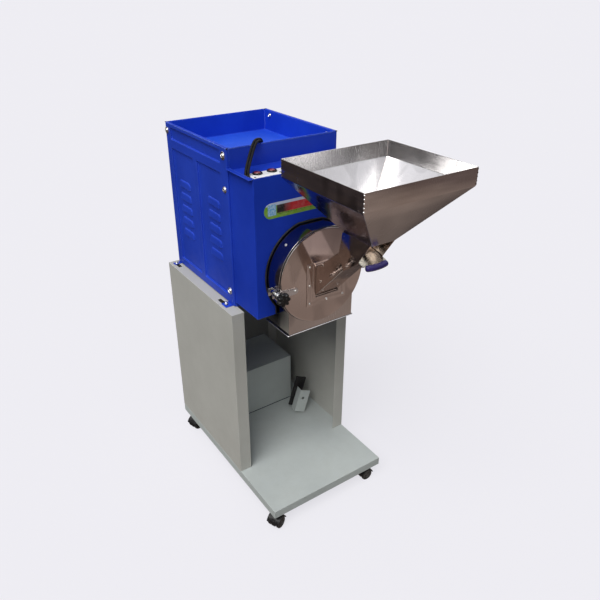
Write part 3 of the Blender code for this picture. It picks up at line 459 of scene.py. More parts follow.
BLACK = plastic(
    "black_moulding", base=(0.005, 0.005, 0.006), light=(0.012, 0.012, 0.013),
    rough=(0.3, 0.42), strength=0.12, specular=0.35, edge_lightening=0.25,
)
KNOB_BLACK = plastic(
    "knob_black", base=(0.003, 0.003, 0.004), light=(0.007, 0.007, 0.008),
    rough=(0.25, 0.36), strength=0.08, specular=0.35, edge_lightening=0.15,
)
FAN_BLACK = plastic(
    "fan_moulding", base=(0.016, 0.016, 0.018), light=(0.03, 0.03, 0.032), rough=(0.4, 0.5)
)
RUBBER = plastic(
    "black_rubber", base=(0.008, 0.008, 0.009), light=(0.02, 0.02, 0.021),
    rough=(0.55, 0.75), grain=900.0, strength=0.3, edge_lightening=0.2, specular=0.3,
)
CABLE = plastic(
    "cable_jacket", base=(0.004, 0.004, 0.005), light=(0.009, 0.009, 0.011),
    rough=(0.4, 0.55), grain=500.0, edge_lightening=0.03, specular=0.12,
)
TREAD = plastic(
    "caster_tread", base=(0.016, 0.015, 0.015), light=(0.05, 0.047, 0.044),
    rough=(0.5, 0.7), grain=600.0, strength=0.3,
)
INDIGO = plastic(
    "grip_indigo", base=srgb(38, 26, 104), light=srgb(50, 34, 124), rough=(0.3, 0.42),
    grain=500.0, strength=0.15, edge_lightening=0.3,
)
RED = plastic(
    "switch_red", base=(0.16, 0.004, 0.008), light=(0.26, 0.008, 0.012), rough=(0.12, 0.2),
    grain=300.0, strength=0.05, edge_lightening=0.3, coat=0.5,
)
DARK = shadow("shadow_inside")

# ---------------------------------------------------------------- mesh tools (mm)


def add(
    name, piece, materials, angle=30, body="machine_body", replaces=None, merge=True
):
    """Make an object of a finished piece. Edges sharper than the angle stay sharp."""
    if merge:
        bmesh.ops.remove_doubles(piece, verts=piece.verts, dist=0.002)
    bmesh.ops.scale(piece, vec=(MM, MM, MM), verts=piece.verts)
    bmesh.ops.recalc_face_normals(piece, faces=piece.faces)
    mesh = bpy.data.meshes.new(name)
    piece.to_mesh(mesh)
    piece.free()
    ob = bpy.data.objects.new(name, mesh)
    SCENE.collection.objects.link(ob)
    for material in materials if isinstance(materials, list) else [materials]:
        mesh.materials.append(material)
    mesh.shade_smooth()
    mesh.set_sharp_from_angle(angle=math.radians(angle))
    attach(ob, body)
    if replaces:
        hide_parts(replaces)


def dress(node, material, bevel=0.0, segments=2):
    """Give a CAD node that keeps its shape a material, and soften its edges."""
    ob = NODES[node]
    mesh = ob.data
    mesh.materials.clear()
    mesh.materials.append(material)
    if "custom_normal" in mesh.attributes:
        mesh.attributes.remove(mesh.attributes["custom_normal"])
    mesh.shade_smooth()
    weld = ob.modifiers.new("weld", "WELD")
    weld.merge_threshold = 0.00002
    flat = ob.modifiers.new("flat", "DECIMATE")
    flat.decimate_type = "DISSOLVE"
    flat.angle_limit = math.radians(0.6)
    if bevel:
        rounded = ob.modifiers.new("bevel", "BEVEL")
        rounded.width = bevel * MM
        rounded.segments = segments
        rounded.limit_method = "ANGLE"
        rounded.angle_limit = math.radians(35.0)
        rounded.harden_normals = True
        rounded.use_clamp_overlap = True
    else:
        ob.modifiers.new("split", "EDGE_SPLIT").split_angle = math.radians(32.0)


def group(*pieces):
    """One piece out of several, which are used up."""
    out = bmesh.new()
    for piece in pieces:
        mesh = bpy.data.meshes.new("tmp")
        piece.to_mesh(mesh)
        piece.free()
        out.from_mesh(mesh)
        bpy.data.meshes.remove(mesh)
    return out


def moved(piece, matrix):
    bmesh.ops.transform(piece, matrix=matrix, verts=piece.verts)
    return piece


def placed(piece, spot, tilt=0.0):
    """Tilt a piece about X, then carry it to a spot."""
    return moved(piece, Matrix.Translation(spot) @ Matrix.Rotation(tilt, 4, "X"))


def along(spot, normal, spin=0.0):
    """A matrix that puts a piece made along +Z at a spot, pointing along normal."""
    turn = Vector(normal).normalized().to_track_quat("Z", "Y")
    return Matrix.Translation(Vector(spot)) @ turn.to_matrix().to_4x4() @ Matrix.Rotation(spin, 4, "Z")


def round_edges(piece, edges, radius, segments):
    bmesh.ops.bevel(
        piece, geom=edges, offset=radius, segments=segments, profile=0.5, affect="EDGES",
        clamp_overlap=True,
    )


def soften(piece, radius, segments=2, angle=40.0):
    """Round the edges that turn by more than the angle."""
    limit = math.radians(angle)
    edges = [e for e in piece.edges if len(e.link_faces) == 2 and e.calc_face_angle(0.0) > limit]
    if edges:
        round_edges(piece, edges, radius, segments)
    return piece


def block(low, high, radius=0.0, segments=2):
    piece = bmesh.new()
    bmesh.ops.create_cube(piece, size=1.0)
    size = [max(b - a, 1e-4) for a, b in zip(low, high)]
    middle = [(a + b) / 2 for a, b in zip(low, high)]
    bmesh.ops.scale(piece, vec=size, verts=piece.verts)
    bmesh.ops.translate(piece, vec=middle, verts=piece.verts)
    if radius:
        round_edges(piece, piece.edges[:], radius, segments)
    return piece


def prism(points, start, end, plane="XZ", radius=0.0, segments=2):
    """A flat outline carried from start to end across its plane."""

    def spot(point, level):
        first, second = point
        return {
            "XZ": (first, level, second),
            "YZ": (level, first, second),
            "XY": (first, second, level),
        }[plane]

    piece = bmesh.new()
    low = [piece.verts.new(spot(point, start)) for point in points]
    top = [piece.verts.new(spot(point, end)) for point in points]
    piece.faces.new(low)
    piece.faces.new(list(reversed(top)))
    for i in range(len(points)):
        j = (i + 1) % len(points)
        piece.faces.new((low[j], low[i], top[i], top[j]))
    bmesh.ops.recalc_face_normals(piece, faces=piece.faces)
    if radius:
        soften(piece, radius, segments)
    return piece


def bridge(piece, loops):
    """Faces between each loop of vertices and the next; a repeated vertex makes triangles."""
    for lower, upper in zip(loops, loops[1:]):
        for k in range(len(lower)):
            j = (k + 1) % len(lower)
            quad = list(dict.fromkeys((lower[k], lower[j], upper[j], upper[k])))
            if len(quad) > 2:
                piece.faces.new(quad)


def lathe(profile, segments=64, shape=lambda angle: 1.0, loop=False):
    """Turned about +Z from (radius, height) pairs; shape scales the radius by angle."""
    piece = bmesh.new()
    angles = [2 * math.pi * k / segments for k in range(segments)]
    loops = []
    for radius, z in profile:
        if radius < 1e-6:
            loops.append([piece.verts.new((0, 0, z))] * segments)
            continue
        ring = []
        for angle in angles:
            reach = shape(angle) * radius
            ring.append(piece.verts.new((reach * math.cos(angle), reach * math.sin(angle), z)))
        loops.append(ring)
    bridge(piece, loops + loops[:1] if loop else loops)
    bmesh.ops.recalc_face_normals(piece, faces=piece.faces)
    return piece


def cylinder(radius, half, segments):
    return lathe([(0, half), (radius, half), (radius, -half), (0, -half)], segments)


def carve(piece, *tools):
    """The piece less each tool, by exact Booleans."""

    def temporary(name, source):
        mesh = bpy.data.meshes.new(name)
        source.to_mesh(mesh)
        source.free()
        ob = bpy.data.objects.new(name, mesh)
        SCENE.collection.objects.link(ob)
        return ob

    body = temporary("tmp_body", piece)
    used = [body]
    for i, tool in enumerate(tools):
        bmesh.ops.recalc_face_normals(tool, faces=tool.faces)
        cutter = temporary("tmp_tool", tool)
        used.append(cutter)
        cut = body.modifiers.new(f"b{i}", "BOOLEAN")
        cut.operation = "DIFFERENCE"
        cut.solver = "EXACT"
        cut.object = cutter
    bpy.context.view_layer.update()
    depsgraph = bpy.context.evaluated_depsgraph_get()
    done = bpy.data.meshes.new_from_object(body.evaluated_get(depsgraph))
    out = bmesh.new()
    out.from_mesh(done)
    for ob in used:
        mesh = ob.data
        bpy.data.objects.remove(ob)
        bpy.data.meshes.remove(mesh)
    bpy.data.meshes.remove(done)
    return out


def smooth_path(keys, steps=8):
    """A Catmull-Rom curve through the keys."""
    pts = [Vector(key) for key in keys]
    pts = [pts[0] * 2 - pts[1]] + pts + [pts[-1] * 2 - pts[-2]]
    out = []
    for i in range(1, len(pts) - 2):
        p0, p1, p2, p3 = pts[i - 1 : i + 3]
        for k in range(steps):
            t = k / steps
            square = (2 * p0 - 5 * p1 + 4 * p2 - p3) * t * t
            cube = (3 * p1 - p0 - 3 * p2 + p3) * t**3
            out.append(0.5 * ((2 * p1) + (p2 - p0) * t + square + cube))
    out.append(pts[-2])
    return out


def tangent(pts, i):
    return (pts[min(i + 1, len(pts) - 1)] - pts[max(i - 1, 0)]).normalized()


def tube(path, radius, segments, up=(0, 0, 1)):
    """A round section along a path; radius may be a function of the share of the way."""
    pts = [Vector(point) for point in path]
    piece = bmesh.new()
    loops = []
    rise = Vector(up)
    for i, point in enumerate(pts):
        ahead = tangent(pts, i)
        side = ahead.cross(rise)
        if side.length < 1e-4:
            side = ahead.cross(Vector((1, 0, 0)))
        side.normalize()
        rise = side.cross(ahead).normalized()
        reach = radius(i / (len(pts) - 1)) if callable(radius) else radius
        ring = []
        for k in range(segments):
            angle = 2 * math.pi * k / segments
            offset = side * (reach * math.cos(angle)) + rise * (reach * math.sin(angle))
            ring.append(piece.verts.new(point + offset))
        loops.append(ring)
    bridge(piece, loops)
    piece.faces.new(loops[0])
    piece.faces.new(list(reversed(loops[-1])))
    bmesh.ops.recalc_face_normals(piece, faces=piece.faces)
    return piece


def arc(centre, radius, start, sweep, steps):
    """Points of a circular arc; start and sweep are in degrees."""
    angles = [math.radians(start + sweep * k / steps) for k in range(steps + 1)]
    across, rise = centre
    return [(across + radius * math.cos(a), rise + radius * math.sin(a)) for a in angles]


def rect_ring(rect, inset, z, corner, steps=4):
    """Points round the rectangle (x0, x1, y0, y1), inset, with rounded corners."""
    corner = max(corner, 0.05)
    x0, x1 = rect[0] + inset + corner, rect[1] - inset - corner
    y0, y1 = rect[2] + inset + corner, rect[3] - inset - corner
    out = []
    for centre, start in (((x1, y1), 0), ((x0, y1), 90), ((x0, y0), 180), ((x1, y0), 270)):
        out += [(x, y, z) for x, y in arc(centre, corner, start, 90, steps)]
    return out


def loft(rings, closed=False):
    piece = bmesh.new()
    loops = [[piece.verts.new(point) for point in ring] for ring in rings]
    bridge(piece, loops + loops[:1] if closed else loops)
    bmesh.ops.recalc_face_normals(piece, faces=piece.faces)
    return piece


# ---------------------------------------------------------------- screws and bolts


def flat_washer(inner, outer, height, segments):
    chamfer = 0.4
    profile = [
        (inner, height), (outer - chamfer, height), (outer, height - chamfer), (outer, 0),
        (inner, 0),
    ]
    return lathe(profile, segments, loop=True)


def pan_head(radius, height, washer=0.0, washer_height=1.2, cross=True):
    """A pan head standing on z = 0, with a cross recess and a washer if asked for."""
    segments, rings = 32, 9
    base = washer_height if washer else 0.0
    half_slot, reach = 0.13 * radius, 0.55 * radius  # the recess's half width and arm length
    angles = [2 * math.pi * k / segments for k in range(segments)]
    head = bmesh.new()
    centre = head.verts.new((0, 0, base + (height * 0.5 if cross else height)))
    loops = [[centre] * segments]
    for i in range(1, rings + 1):
        share = i / rings
        crown = 1 - 0.42 * share**2.6 if i < rings else 0.45
        ring = []
        for angle in angles:
            x, y = radius * share * math.cos(angle), radius * share * math.sin(angle)
            z = height * crown
            if cross:
                along_y = max(abs(x) - half_slot, abs(y) - reach)
                along_x = max(abs(y) - half_slot, abs(x) - reach)
                depth = (0.05 * radius - min(along_y, along_x)) / (0.1 * radius)
                z -= max(0.0, min(1.0, depth)) * height * 0.5
            ring.append(head.verts.new((x, y, base + z)))
        loops.append(ring)
    foot = [(radius * math.cos(angle), radius * math.sin(angle), base) for angle in angles]
    loops.append([head.verts.new(point) for point in foot])
    bridge(head, loops)
    bmesh.ops.recalc_face_normals(head, faces=head.faces)
    if washer:
        return group(head, flat_washer(radius * 0.5, washer, washer_height, 36))
    return head


def screw(spot, normal, radius, height, spin=0.0, **head):
    return moved(pan_head(radius, height, **head), along(spot, normal, spin))


def hexagon(angle):
    """The radius, by angle, of a hexagon with an inner radius of 1."""
    return 1 / math.cos((angle + math.pi / 6) % (math.pi / 3) - math.pi / 6)


def hex_bolt(across_flats, height, washer, washer_height):
    inner = across_flats / 2
    profile = [
        (0, height), (0.86, height), (0.97, height - 0.5), (1.0, height - 1.2), (1.0, 0), (0, 0)
    ]
    head = lathe(
        [(share, z + washer_height) for share, z in profile], 48,
        shape=lambda angle: inner * min(hexagon(angle), 1.09),
    )
    return group(head, flat_washer(across_flats * 0.3, washer, washer_height, 40))


# ---------------------------------------------------------------- stand and casters

dress("base_platform", GREY_TOP_SKYLIT, bevel=1.6, segments=3)
dress("left_side_panel", GREY, bevel=0.9)
dress("right_side_panel", GREY, bevel=0.9)
dress("stand_back_panel", GREY_BACK_SHADED, bevel=0.6)
dress("rear_equipment_box", GREY_BOX, bevel=0.7)

# (radius, height from the middle of the axle) of half a twin wheel
WHEEL_PROFILE = [
    (0.0, 19.6), (2.6, 19.8), (3.4, 18.4), (8.5, 17.8), (9.6, 20.1), (13.2, 20.8), (14.6, 19.8),
    (16.0, 20.5), (18.0, 20.0), (19.3, 18.8), (20.0, 16.8), (20.0, 12.2), (19.4, 10.4),
    (17.6, 9.0), (4.0, 8.7), (4.0, 0.0),
]


def build_caster(corner):
    dress(f"caster_plate_{corner}", ZINC, bevel=0.5)
    dress(f"caster_hood_{corner}", BLACK, bevel=0.8)
    roll = f"wheel_roll_{corner}"
    mirrored = moved(lathe(WHEEL_PROFILE, 40), Matrix.Scale(-1, 4, (0, 0, 1)))
    wheels = group(lathe(WHEEL_PROFILE, 40), mirrored)
    add(
        f"caster_wheels_visual_{corner}",
        moved(wheels, along(joint_place(roll), JOINTS[roll]["axis"])), TREAD,
        body=f"caster_wheelset_{corner}", replaces=f"caster_wheels_{corner}",
    )


for corner_name in ("front_left", "front_right", "rear_left", "rear_right"):
    build_caster(corner_name)

# ---------------------------------------------------------------- side covers

COVER_OUTER, COVER_INNER = COVER_HIGH[0], COVER_LOW[0]
COVER_ROUND = 1.8
# Recessed bays: y from, y to, z from, z to
BAYS = (
    (98.0, 243.0, 698.0, 1061.0), (265.0, 410.0, 698.0, 1061.0), (98.0, 410.0, 1086.0, 1122.0)
)
BAY_DEPTH, BAY_SLOPE, BAY_CORNER = 5.2, 1.8, 4.0
LOUVRE_TOPS = [812.5 + 39.4 * i for i in range(5)]
LOUVRE_H = 18.0
LOUVRE_ABOVE = 2.0  # how far a louvre's bulge starts over its top
LOUVRE_Y = ((124.0, 194.0), (309.0, 379.0))

# Grid lines of the skin, as offsets from the features they follow
RIM_STEPS = (0, 0.12, 0.45, 0.95, 1.8)
BAY_STEPS = (-1.2, -0.6, 0.0, 0.3, 0.6, 0.9, 1.2, 1.5, 1.8, 2.2, 3.0, 4.0)
LOUVRE_END_STEPS = (0, 0.3, 0.8, 1.5, 2.5, 4.0, 5.5, 7.5, 10.0, 12.5)
LOUVRE_STEPS = (
    LOUVRE_ABOVE, 1.6, 1.0, 0, -1.5, -3.5, -6.0, -9.0, -12.0, -15.0, -17.2,
    -LOUVRE_H + 0.02, -LOUVRE_H - 0.25, -LOUVRE_H - 2.0,
)
GRID_PITCH, GRID_LEAST = 7.0, 0.1

# Cover screws: y, z, washer radius
COVER_SCREWS = ((80.0, 1110.0, 11.5), (79.0, 1019.5, 9.5), (82.0, 716.0, 11.0), (431.0, 1109.0, 10.5))


def ease(share):
    share = max(0.0, min(1.0, share))
    return share * share * (3 - 2 * share)


def inside_by(y, z, y0, y1, z0, z1, corner):
    """How far a spot lies inside a rectangle with rounded corners."""
    over_y = abs(y - (y0 + y1) / 2) - ((y1 - y0) / 2 - corner)
    over_z = abs(z - (z0 + z1) / 2) - ((z1 - z0) / 2 - corner)
    return corner - (math.hypot(max(over_y, 0), max(over_z, 0)) + min(max(over_y, over_z), 0))


def cover_depth(y, z):
    """How far the cover's skin lies in from its outer plane; less than 0 on the louvres."""
    rim = min(y - COVER_LOW[1], COVER_HIGH[1] - y, z - COVER_LOW[2], COVER_HIGH[2] - z)
    depth = 0.0
    if rim < COVER_ROUND:
        drop = COVER_ROUND * COVER_ROUND - max(COVER_ROUND - rim, 0.0) ** 2
        depth = COVER_ROUND - math.sqrt(max(drop, 0.0))
    for bay in BAYS:
        depth += BAY_DEPTH * ease(inside_by(y, z, *bay, BAY_CORNER) / BAY_SLOPE)
    for top in LOUVRE_TOPS:
        for start, end in LOUVRE_Y:
            if start < y < end and top - LOUVRE_H < z < top + LOUVRE_ABOVE:
                # a quick round rise under the top edge, a slower one to the open mouth,
                # and rounded shoulders
                down = top + LOUVRE_ABOVE - z
                aside = min(y - start, end - y) * 0.9
                if down + aside > 9.0:
                    edge = min(down, aside)
                else:
                    edge = 9.0 - math.hypot(9.0 - down, 9.0 - aside)
                rise = math.sqrt(max(0.0, 1 - (1 - min(max(edge, 0.0) / 5.0, 1.0)) ** 2))
                depth -= rise * (2.8 + 1.5 * down / (LOUVRE_H + LOUVRE_ABOVE))
    return depth


def inward(low, high, offsets):
    return {low + offset for offset in offsets} | {high - offset for offset in offsets}


def grid_lines(axis, features):
    """Sorted grid lines on an axis: its rims, the features and an even pitch, without crowding."""
    low, high = COVER_LOW[axis], COVER_HIGH[axis]
    lines = inward(low, high, RIM_STEPS).union(*features)
    place = low
    while place < high:
        lines.add(place)
        place += GRID_PITCH
    kept = []
    for place in sorted(lines):
        if not kept or place - kept[-1] >= GRID_LEAST:
            kept.append(place)
    return kept


GRID_Y = grid_lines(
    1,
    [inward(bay[0], bay[1], BAY_STEPS) for bay in BAYS]
    + [inward(start, end, LOUVRE_END_STEPS) for start, end in LOUVRE_Y],
)
GRID_Z = grid_lines(
    2,
    [inward(bay[2], bay[3], BAY_STEPS) for bay in BAYS]
    + [{top + offset for offset in LOUVRE_STEPS} for top in LOUVRE_TOPS],
)


def build_cover(label, side):
    skin = bmesh.new()
    grid = [
        [skin.verts.new((side * (COVER_OUTER - cover_depth(y, z)), y, z)) for z in GRID_Z]
        for y in GRID_Y
    ]
    for i in range(len(GRID_Y) - 1):
        for k in range(len(GRID_Z) - 1):
            here, across = grid[i], grid[i + 1]
            face = skin.faces.new((here[k], across[k], across[k + 1], here[k + 1]))
            # the narrow steep faces at the foot of each louvre get painted shade, standing for its
            # open mouth
            narrow = GRID_Z[k + 1] - GRID_Z[k] < 0.4
            steep = abs(here[k].co.x - here[k + 1].co.x) > 1.2
            middle = (GRID_Z[k] + GRID_Z[k + 1]) / 2
            at_foot = any(abs(middle - (top - LOUVRE_H)) < 0.4 for top in LOUVRE_TOPS)
            if narrow and steep and at_foot:
                face.material_index = 1
    rim = [edge for edge in skin.edges if len(edge.link_faces) == 1]
    for item in bmesh.ops.extrude_edge_only(skin, edges=rim)["geom"]:
        if isinstance(item, bmesh.types.BMVert):
            item.co.x = side * COVER_INNER
    add(
        f"{label}_cover_skin", skin, [BLUE_SIDE, DARK], angle=40,
        replaces=f"{label}_side_cover", merge=False,
    )
    heads = [
        screw((side * (COVER_OUTER - 0.1), y, z), (side, 0, 0), radius=6.6, height=4.0,
              spin=0.5 + k, washer=washer, washer_height=1.4)
        for k, (y, z, washer) in enumerate(COVER_SCREWS)
    ]
    add(f"{label}_cover_screws", group(*heads), ZINC)


build_cover("left", -1)
build_cover("right", 1)

# ---------------------------------------------------------------- casing frame and its tabs' bolts


def build_tab_bolts():
    bolts = []
    for side in (-1, 1):
        for x, y in ((188.5, 91.0), (190.5, 431.0)):
            bolt = hex_bolt(across_flats=8.0, height=3.6, washer=6.4, washer_height=1.2)
            bolts.append(moved(bolt, along((side * x, y, 673.3), (0, 0, 1), 0.4 * side)))
    add("tab_bolts", group(*bolts), ZINC)


dress("casing_frame", BLUE_SIDE, bevel=0.5)
build_tab_bolts()

# ---------------------------------------------------------------- top tray

TRAY_X, TRAY_Y = 168.7, (TRAY_HIGH[1] - TRAY_LOW[1]) / 2 - 4.4  # half sizes inside
TRAY_MID = (TRAY_LOW[1] + TRAY_HIGH[1]) / 2
TRAY_TOP, TRAY_FLOOR = TRAY_HIGH[2], 1067.5
# One folded sheet with an outward rim: outset in x, outset in y, z
TRAY_SECTION = [
    (-3.0, -3.0, TRAY_FLOOR), (-1.2, -1.2, TRAY_FLOOR + 0.3), (-0.3, -0.3, TRAY_FLOOR + 1.2),
    (0.0, 0.0, TRAY_FLOOR + 3.0), (0.0, 0.0, TRAY_TOP - 2.6), (0.5, 0.4, TRAY_TOP - 1.0),
    (1.5, 1.0, TRAY_TOP - 0.2), (2.8, 1.8, TRAY_TOP), (8.6, 3.6, TRAY_TOP),
    (9.5, 4.2, TRAY_TOP - 0.5), (9.8, 4.4, TRAY_TOP - 1.4), (9.6, 4.2, TRAY_TOP - 2.6),
    (8.6, 3.6, TRAY_TOP - 2.9), (1.6, 1.6, TRAY_TOP - 2.9), (1.5, 1.5, TRAY_FLOOR - 1.5),
    (-3.0, -3.0, TRAY_FLOOR - 1.5),
]


def tray_floor(cells=24, margin=2.6, dish=0.9):
    """The floor between the folds, dished a little towards its middle."""
    piece = bmesh.new()
    half_x, half_y = TRAY_X - margin, TRAY_Y - margin
    grid = []
    for i in range(cells + 1):
        x = -half_x + 2 * half_x * i / cells
        row = []
        for k in range(cells + 1):
            y = TRAY_MID - half_y + 2 * half_y * k / cells
            across = math.cos(x / TRAY_X * math.pi / 2)
            deep = math.cos((y - TRAY_MID) / TRAY_Y * math.pi / 2)
            row.append(piece.verts.new((x, y, TRAY_FLOOR + 0.02 - dish * across * deep)))
        grid.append(row)
    for here, across in zip(grid, grid[1:]):
        for k in range(cells):
            piece.faces.new((here[k], across[k], across[k + 1], here[k + 1]))
    return piece


def build_tray():
    rings = []
    for out_x, out_y, z in TRAY_SECTION:
        half_x, half_y = TRAY_X + out_x, TRAY_Y + out_y
        rect = (-half_x, half_x, TRAY_MID - half_y, TRAY_MID + half_y)
        rings.append(rect_ring(rect, 0, z, 2.2 + min(out_x, out_y), steps=5))
    tray = group(loft(rings), tray_floor())
    tray.normal_update()
    lowest = min(vert.co.z for vert in tray.verts)
    # The up-facing floor gets the lighter blue: painted light from above.
    for face in tray.faces:
        if face.normal.z > 0.95 and face.calc_center_median().z < lowest + 30.0:
            face.material_index = 1
    add(
        "top_tray_skin", tray, [BLUE_TRAY, BLUE_FLOOR_LIT], angle=40, replaces="top_tray",
    )
    slits = []
    for side in (-1, 1):
        for end in (-1, 1):
            slit = block((-1.3, -0.5, -1.4), (1.3, 11.5, 1.45), 0.3, 1)
            spot = (side * (TRAY_X - 0.6), TRAY_MID + end * (TRAY_Y - 0.6), TRAY_TOP - 1.3)
            turn = math.atan2(end * 6.2, side * 11.4) - math.pi / 2
            slits.append(moved(slit, Matrix.Translation(spot) @ Matrix.Rotation(turn, 4, "Z")))
    # Near-black blocks: painted shade in the slits at the rim's corners.
    add("tray_corner_slits", group(*slits), DARK)
    heads = [
        screw((side * TRAY_X, y, 1117.0), (-side, 0, 0), 5.0, 3.6, spin=0.8, washer=7.4)
        for side in (-1, 1)
        for y in (404.0, 96.0)
    ]
    add("tray_screws", group(*heads), ZINC)


build_tray()

# ---------------------------------------------------------------- front box

SHEET = 1.5
BOX_BEND = 2.4
KEYHOLE_R, KEYHOLE_HALF = 142.5, 112.5  # the round part's radius, the straight part's half width
KEYHOLE_REACH = 142.5  # degrees of the round part on each side of its top
KEYHOLE_FOOT = 600.0
SWITCH_Y = -12.0
SWITCHES = {side: joint_place(f"rocker_{side}_tilt")[0] for side in ("left", "right")}
CABLE_AT = (-164.0, -18.0)


def wrap_outline(inset):
    """The wrapped sheet from above: back left, round the two front bends, back right."""
    radius = BOX_BEND - inset
    bend_x, bend_y = BOX_HALF - BOX_BEND, BOX_FRONT + BOX_BEND
    return (
        [(-BOX_HALF + inset, BOX_HIGH[1])]
        + arc((-bend_x, bend_y), radius, 180, 90, 6)
        + arc((bend_x, bend_y), radius, 270, 90, 6)
        + [(BOX_HALF - inset, BOX_HIGH[1])]
    )


def keyhole():
    points = [(KEYHOLE_HALF, KEYHOLE_FOOT)]
    for k in reversed(range(97)):
        angle = math.radians(-KEYHOLE_REACH + 2 * KEYHOLE_REACH * k / 96)
        x, z = KEYHOLE_R * math.sin(angle), AXIS_Z + KEYHOLE_R * math.cos(angle)
        if abs(x) > KEYHOLE_HALF or z > AXIS_Z:
            points.append((x, z))
    return points + [(-KEYHOLE_HALF, KEYHOLE_FOOT)]


def top_hole(x, y, radius):
    return placed(cylinder(radius, 20, 36), (x, y, PLATE_TOP))


def switch_holes():
    return [top_hole(x, SWITCH_Y, 12.2) for x in SWITCHES.values()]


def build_front_box():
    outline = wrap_outline(0.0) + list(reversed(wrap_outline(SHEET)))
    wrap = prism(outline, BOX_LOW[2], BOX_HIGH[2], "XY")
    wrap = carve(wrap, prism(keyhole(), BOX_FRONT - 10, BOX_FRONT + 10, "XZ"))
    lips = []
    for side in (-1, 1):
        x0, x1 = sorted((side * (BOX_HALF - 0.6), side * (BOX_HALF + 12)))
        low = (x0, BOX_FRONT + 0.1, BOX_HIGH[2] - 1.6)
        lips.append(block(low, (x1, BOX_HIGH[1] - 0.1, BOX_HIGH[2]), 0.55, 2))
    inner_x, inner_y = BOX_HALF - SHEET, BOX_FRONT + SHEET
    deck_top = PLATE_TOP - 1.8
    deck = carve(
        block((-inner_x, inner_y, deck_top - SHEET), (inner_x, BOX_HIGH[1], deck_top)),
        *switch_holes(), top_hole(*CABLE_AT, 5.4),
    )
    bottom = carve(
        block((-inner_x, inner_y, BOX_LOW[2]), (inner_x, BOX_HIGH[1], BOX_LOW[2] + SHEET)),
        block((-KEYHOLE_HALF, BOX_FRONT - 10, 600), (KEYHOLE_HALF, -9.5, 800)),
    )
    add(
        "front_box_skin", group(wrap, deck, bottom, *lips), BLUE_BOX_SHADED, replaces="front_box",
    )


build_front_box()

# ---------------------------------------------------------------- control plate and switches

BEZEL_PROFILE = [
    (0, -2.2), (10.7, -2.2), (10.8, 3.6), (11.2, 4.3), (12.1, 4.3), (12.8, 3.8), (13.3, 2.6),
    (13.6, 0.3), (11.8, 0.3), (11.8, -18), (0, -18),
]
ROCKER_PROFILE = [
    (0, 4.5), (3.0, 4.35), (6.0, 3.7), (8.2, 2.6), (9.3, 1.6), (9.7, 0.6), (9.7, -2.2), (0, -2.4)
]


def build_control_plate():
    face = carve(block(PLATE_LOW, PLATE_HIGH, 0.45, 2), *switch_holes())
    add("control_plate_skin", face, WHITE, replaces="control_plate")
    rivets = [
        screw((x, y, PLATE_TOP), (0, 0, 1), radius=2.6, height=1.6, cross=False)
        for x, y in ((-151, -36), (-74, -32), (152, -36), (152, -6))
    ]
    add("control_plate_rivets", group(*rivets), BLACK)


def build_switch(label, x):
    bezel = lathe(BEZEL_PROFILE, 56)
    for vert in bezel.verts:  # flutes round the outer edge
        if math.hypot(vert.co.x, vert.co.y) > 12.7:
            angle = math.atan2(vert.co.y, vert.co.x)
            shrink = 1 - 0.018 * (1 + math.cos(28 * angle))
            vert.co.x *= shrink
            vert.co.y *= shrink
    add(
        f"switch_bezel_{label}", placed(bezel, (x, SWITCH_Y, PLATE_TOP)), BLACK,
        replaces=f"switch_housing_{label}",
    )
    rocker = lathe(ROCKER_PROFILE, 48)
    for vert in rocker.verts:  # a shallow saddle, so that each end stands proud
        if vert.co.z > 0.5:
            vert.co.z += 0.035 * vert.co.y * vert.co.y * 0.35 - 0.6
    spot = Vector(JOINTS[f"rocker_{label}_tilt"]["pos_m"]) / MM
    add(
        f"switch_rocker_cap_{label}", placed(rocker, spot, math.radians(-6)), RED, angle=35,
        body=f"rocker_{label}", replaces=f"switch_rocker_{label}",
    )


build_control_plate()
for switch_label, switch_x in SWITCHES.items():
    build_switch(switch_label, switch_x)

# ---------------------------------------------------------------- power cable

CABLE_KEYS = [
    (*CABLE_AT, 1066), (*CABLE_AT, 1079), (-158, -10, 1092), (-138, 12, 1108), (-114, 35, 1129),
    (-99, 47, 1141), (-83, 58, 1142), (-70, 69, 1136), (-64, 77, 1119), (-61, 84, 1096),
    (-60, 90, 1072.5),
]
CABLE_NORMAL = Vector((0.50, 0.72, -0.48))  # across the flat of the lead
CORE_R, CORE_OFFSET = 3.4, 3.3
GROMMET_PROFILE = [
    (5.4, 7.0), (6.4, 6.6), (6.8, 4.4), (7.6, 3.0), (8.4, 2.6), (8.8, 1.6), (8.8, 0.2),
    (5.2, 0.2), (5.2, -6), (4.6, -6),
]


def build_cable():
    """A flat twin lead, two round cores side by side, rising from a grommet."""
    path = smooth_path(CABLE_KEYS)
    cores = []
    for side in (-1, 1):
        core = []
        for i, point in enumerate(path):
            across = tangent(path, i).cross(CABLE_NORMAL).normalized()
            core.append(point + across * (CORE_OFFSET * side))
        cores.append(tube(core, CORE_R, 16))
    add(
        "power_cable_skin", group(*cores), CABLE, angle=60, replaces="power_cable",
    )
    grommet = placed(lathe(GROMMET_PROFILE, 40, loop=True), (*CABLE_AT, PLATE_TOP - 1.8))
    add("cable_grommet", grommet, BLACK)


build_cable()

# ---------------------------------------------------------------- chamber: drum, chute and outlet

DRUM_FRONT_R = 138.4
CHUTE_FOOT = CHUTE_BOTTOM + 1
CHUTE_INNER = CHUTE_HALF - 2.2
DRUM_WALL = 2.4
OUTLET_RECT = (-CHUTE_HALF - 4.5, CHUTE_HALF + 4.5, -123.0, -6.0)
OUTLET_MOUTH = (-CHUTE_INNER, CHUTE_INNER, -119.2, -12.2)
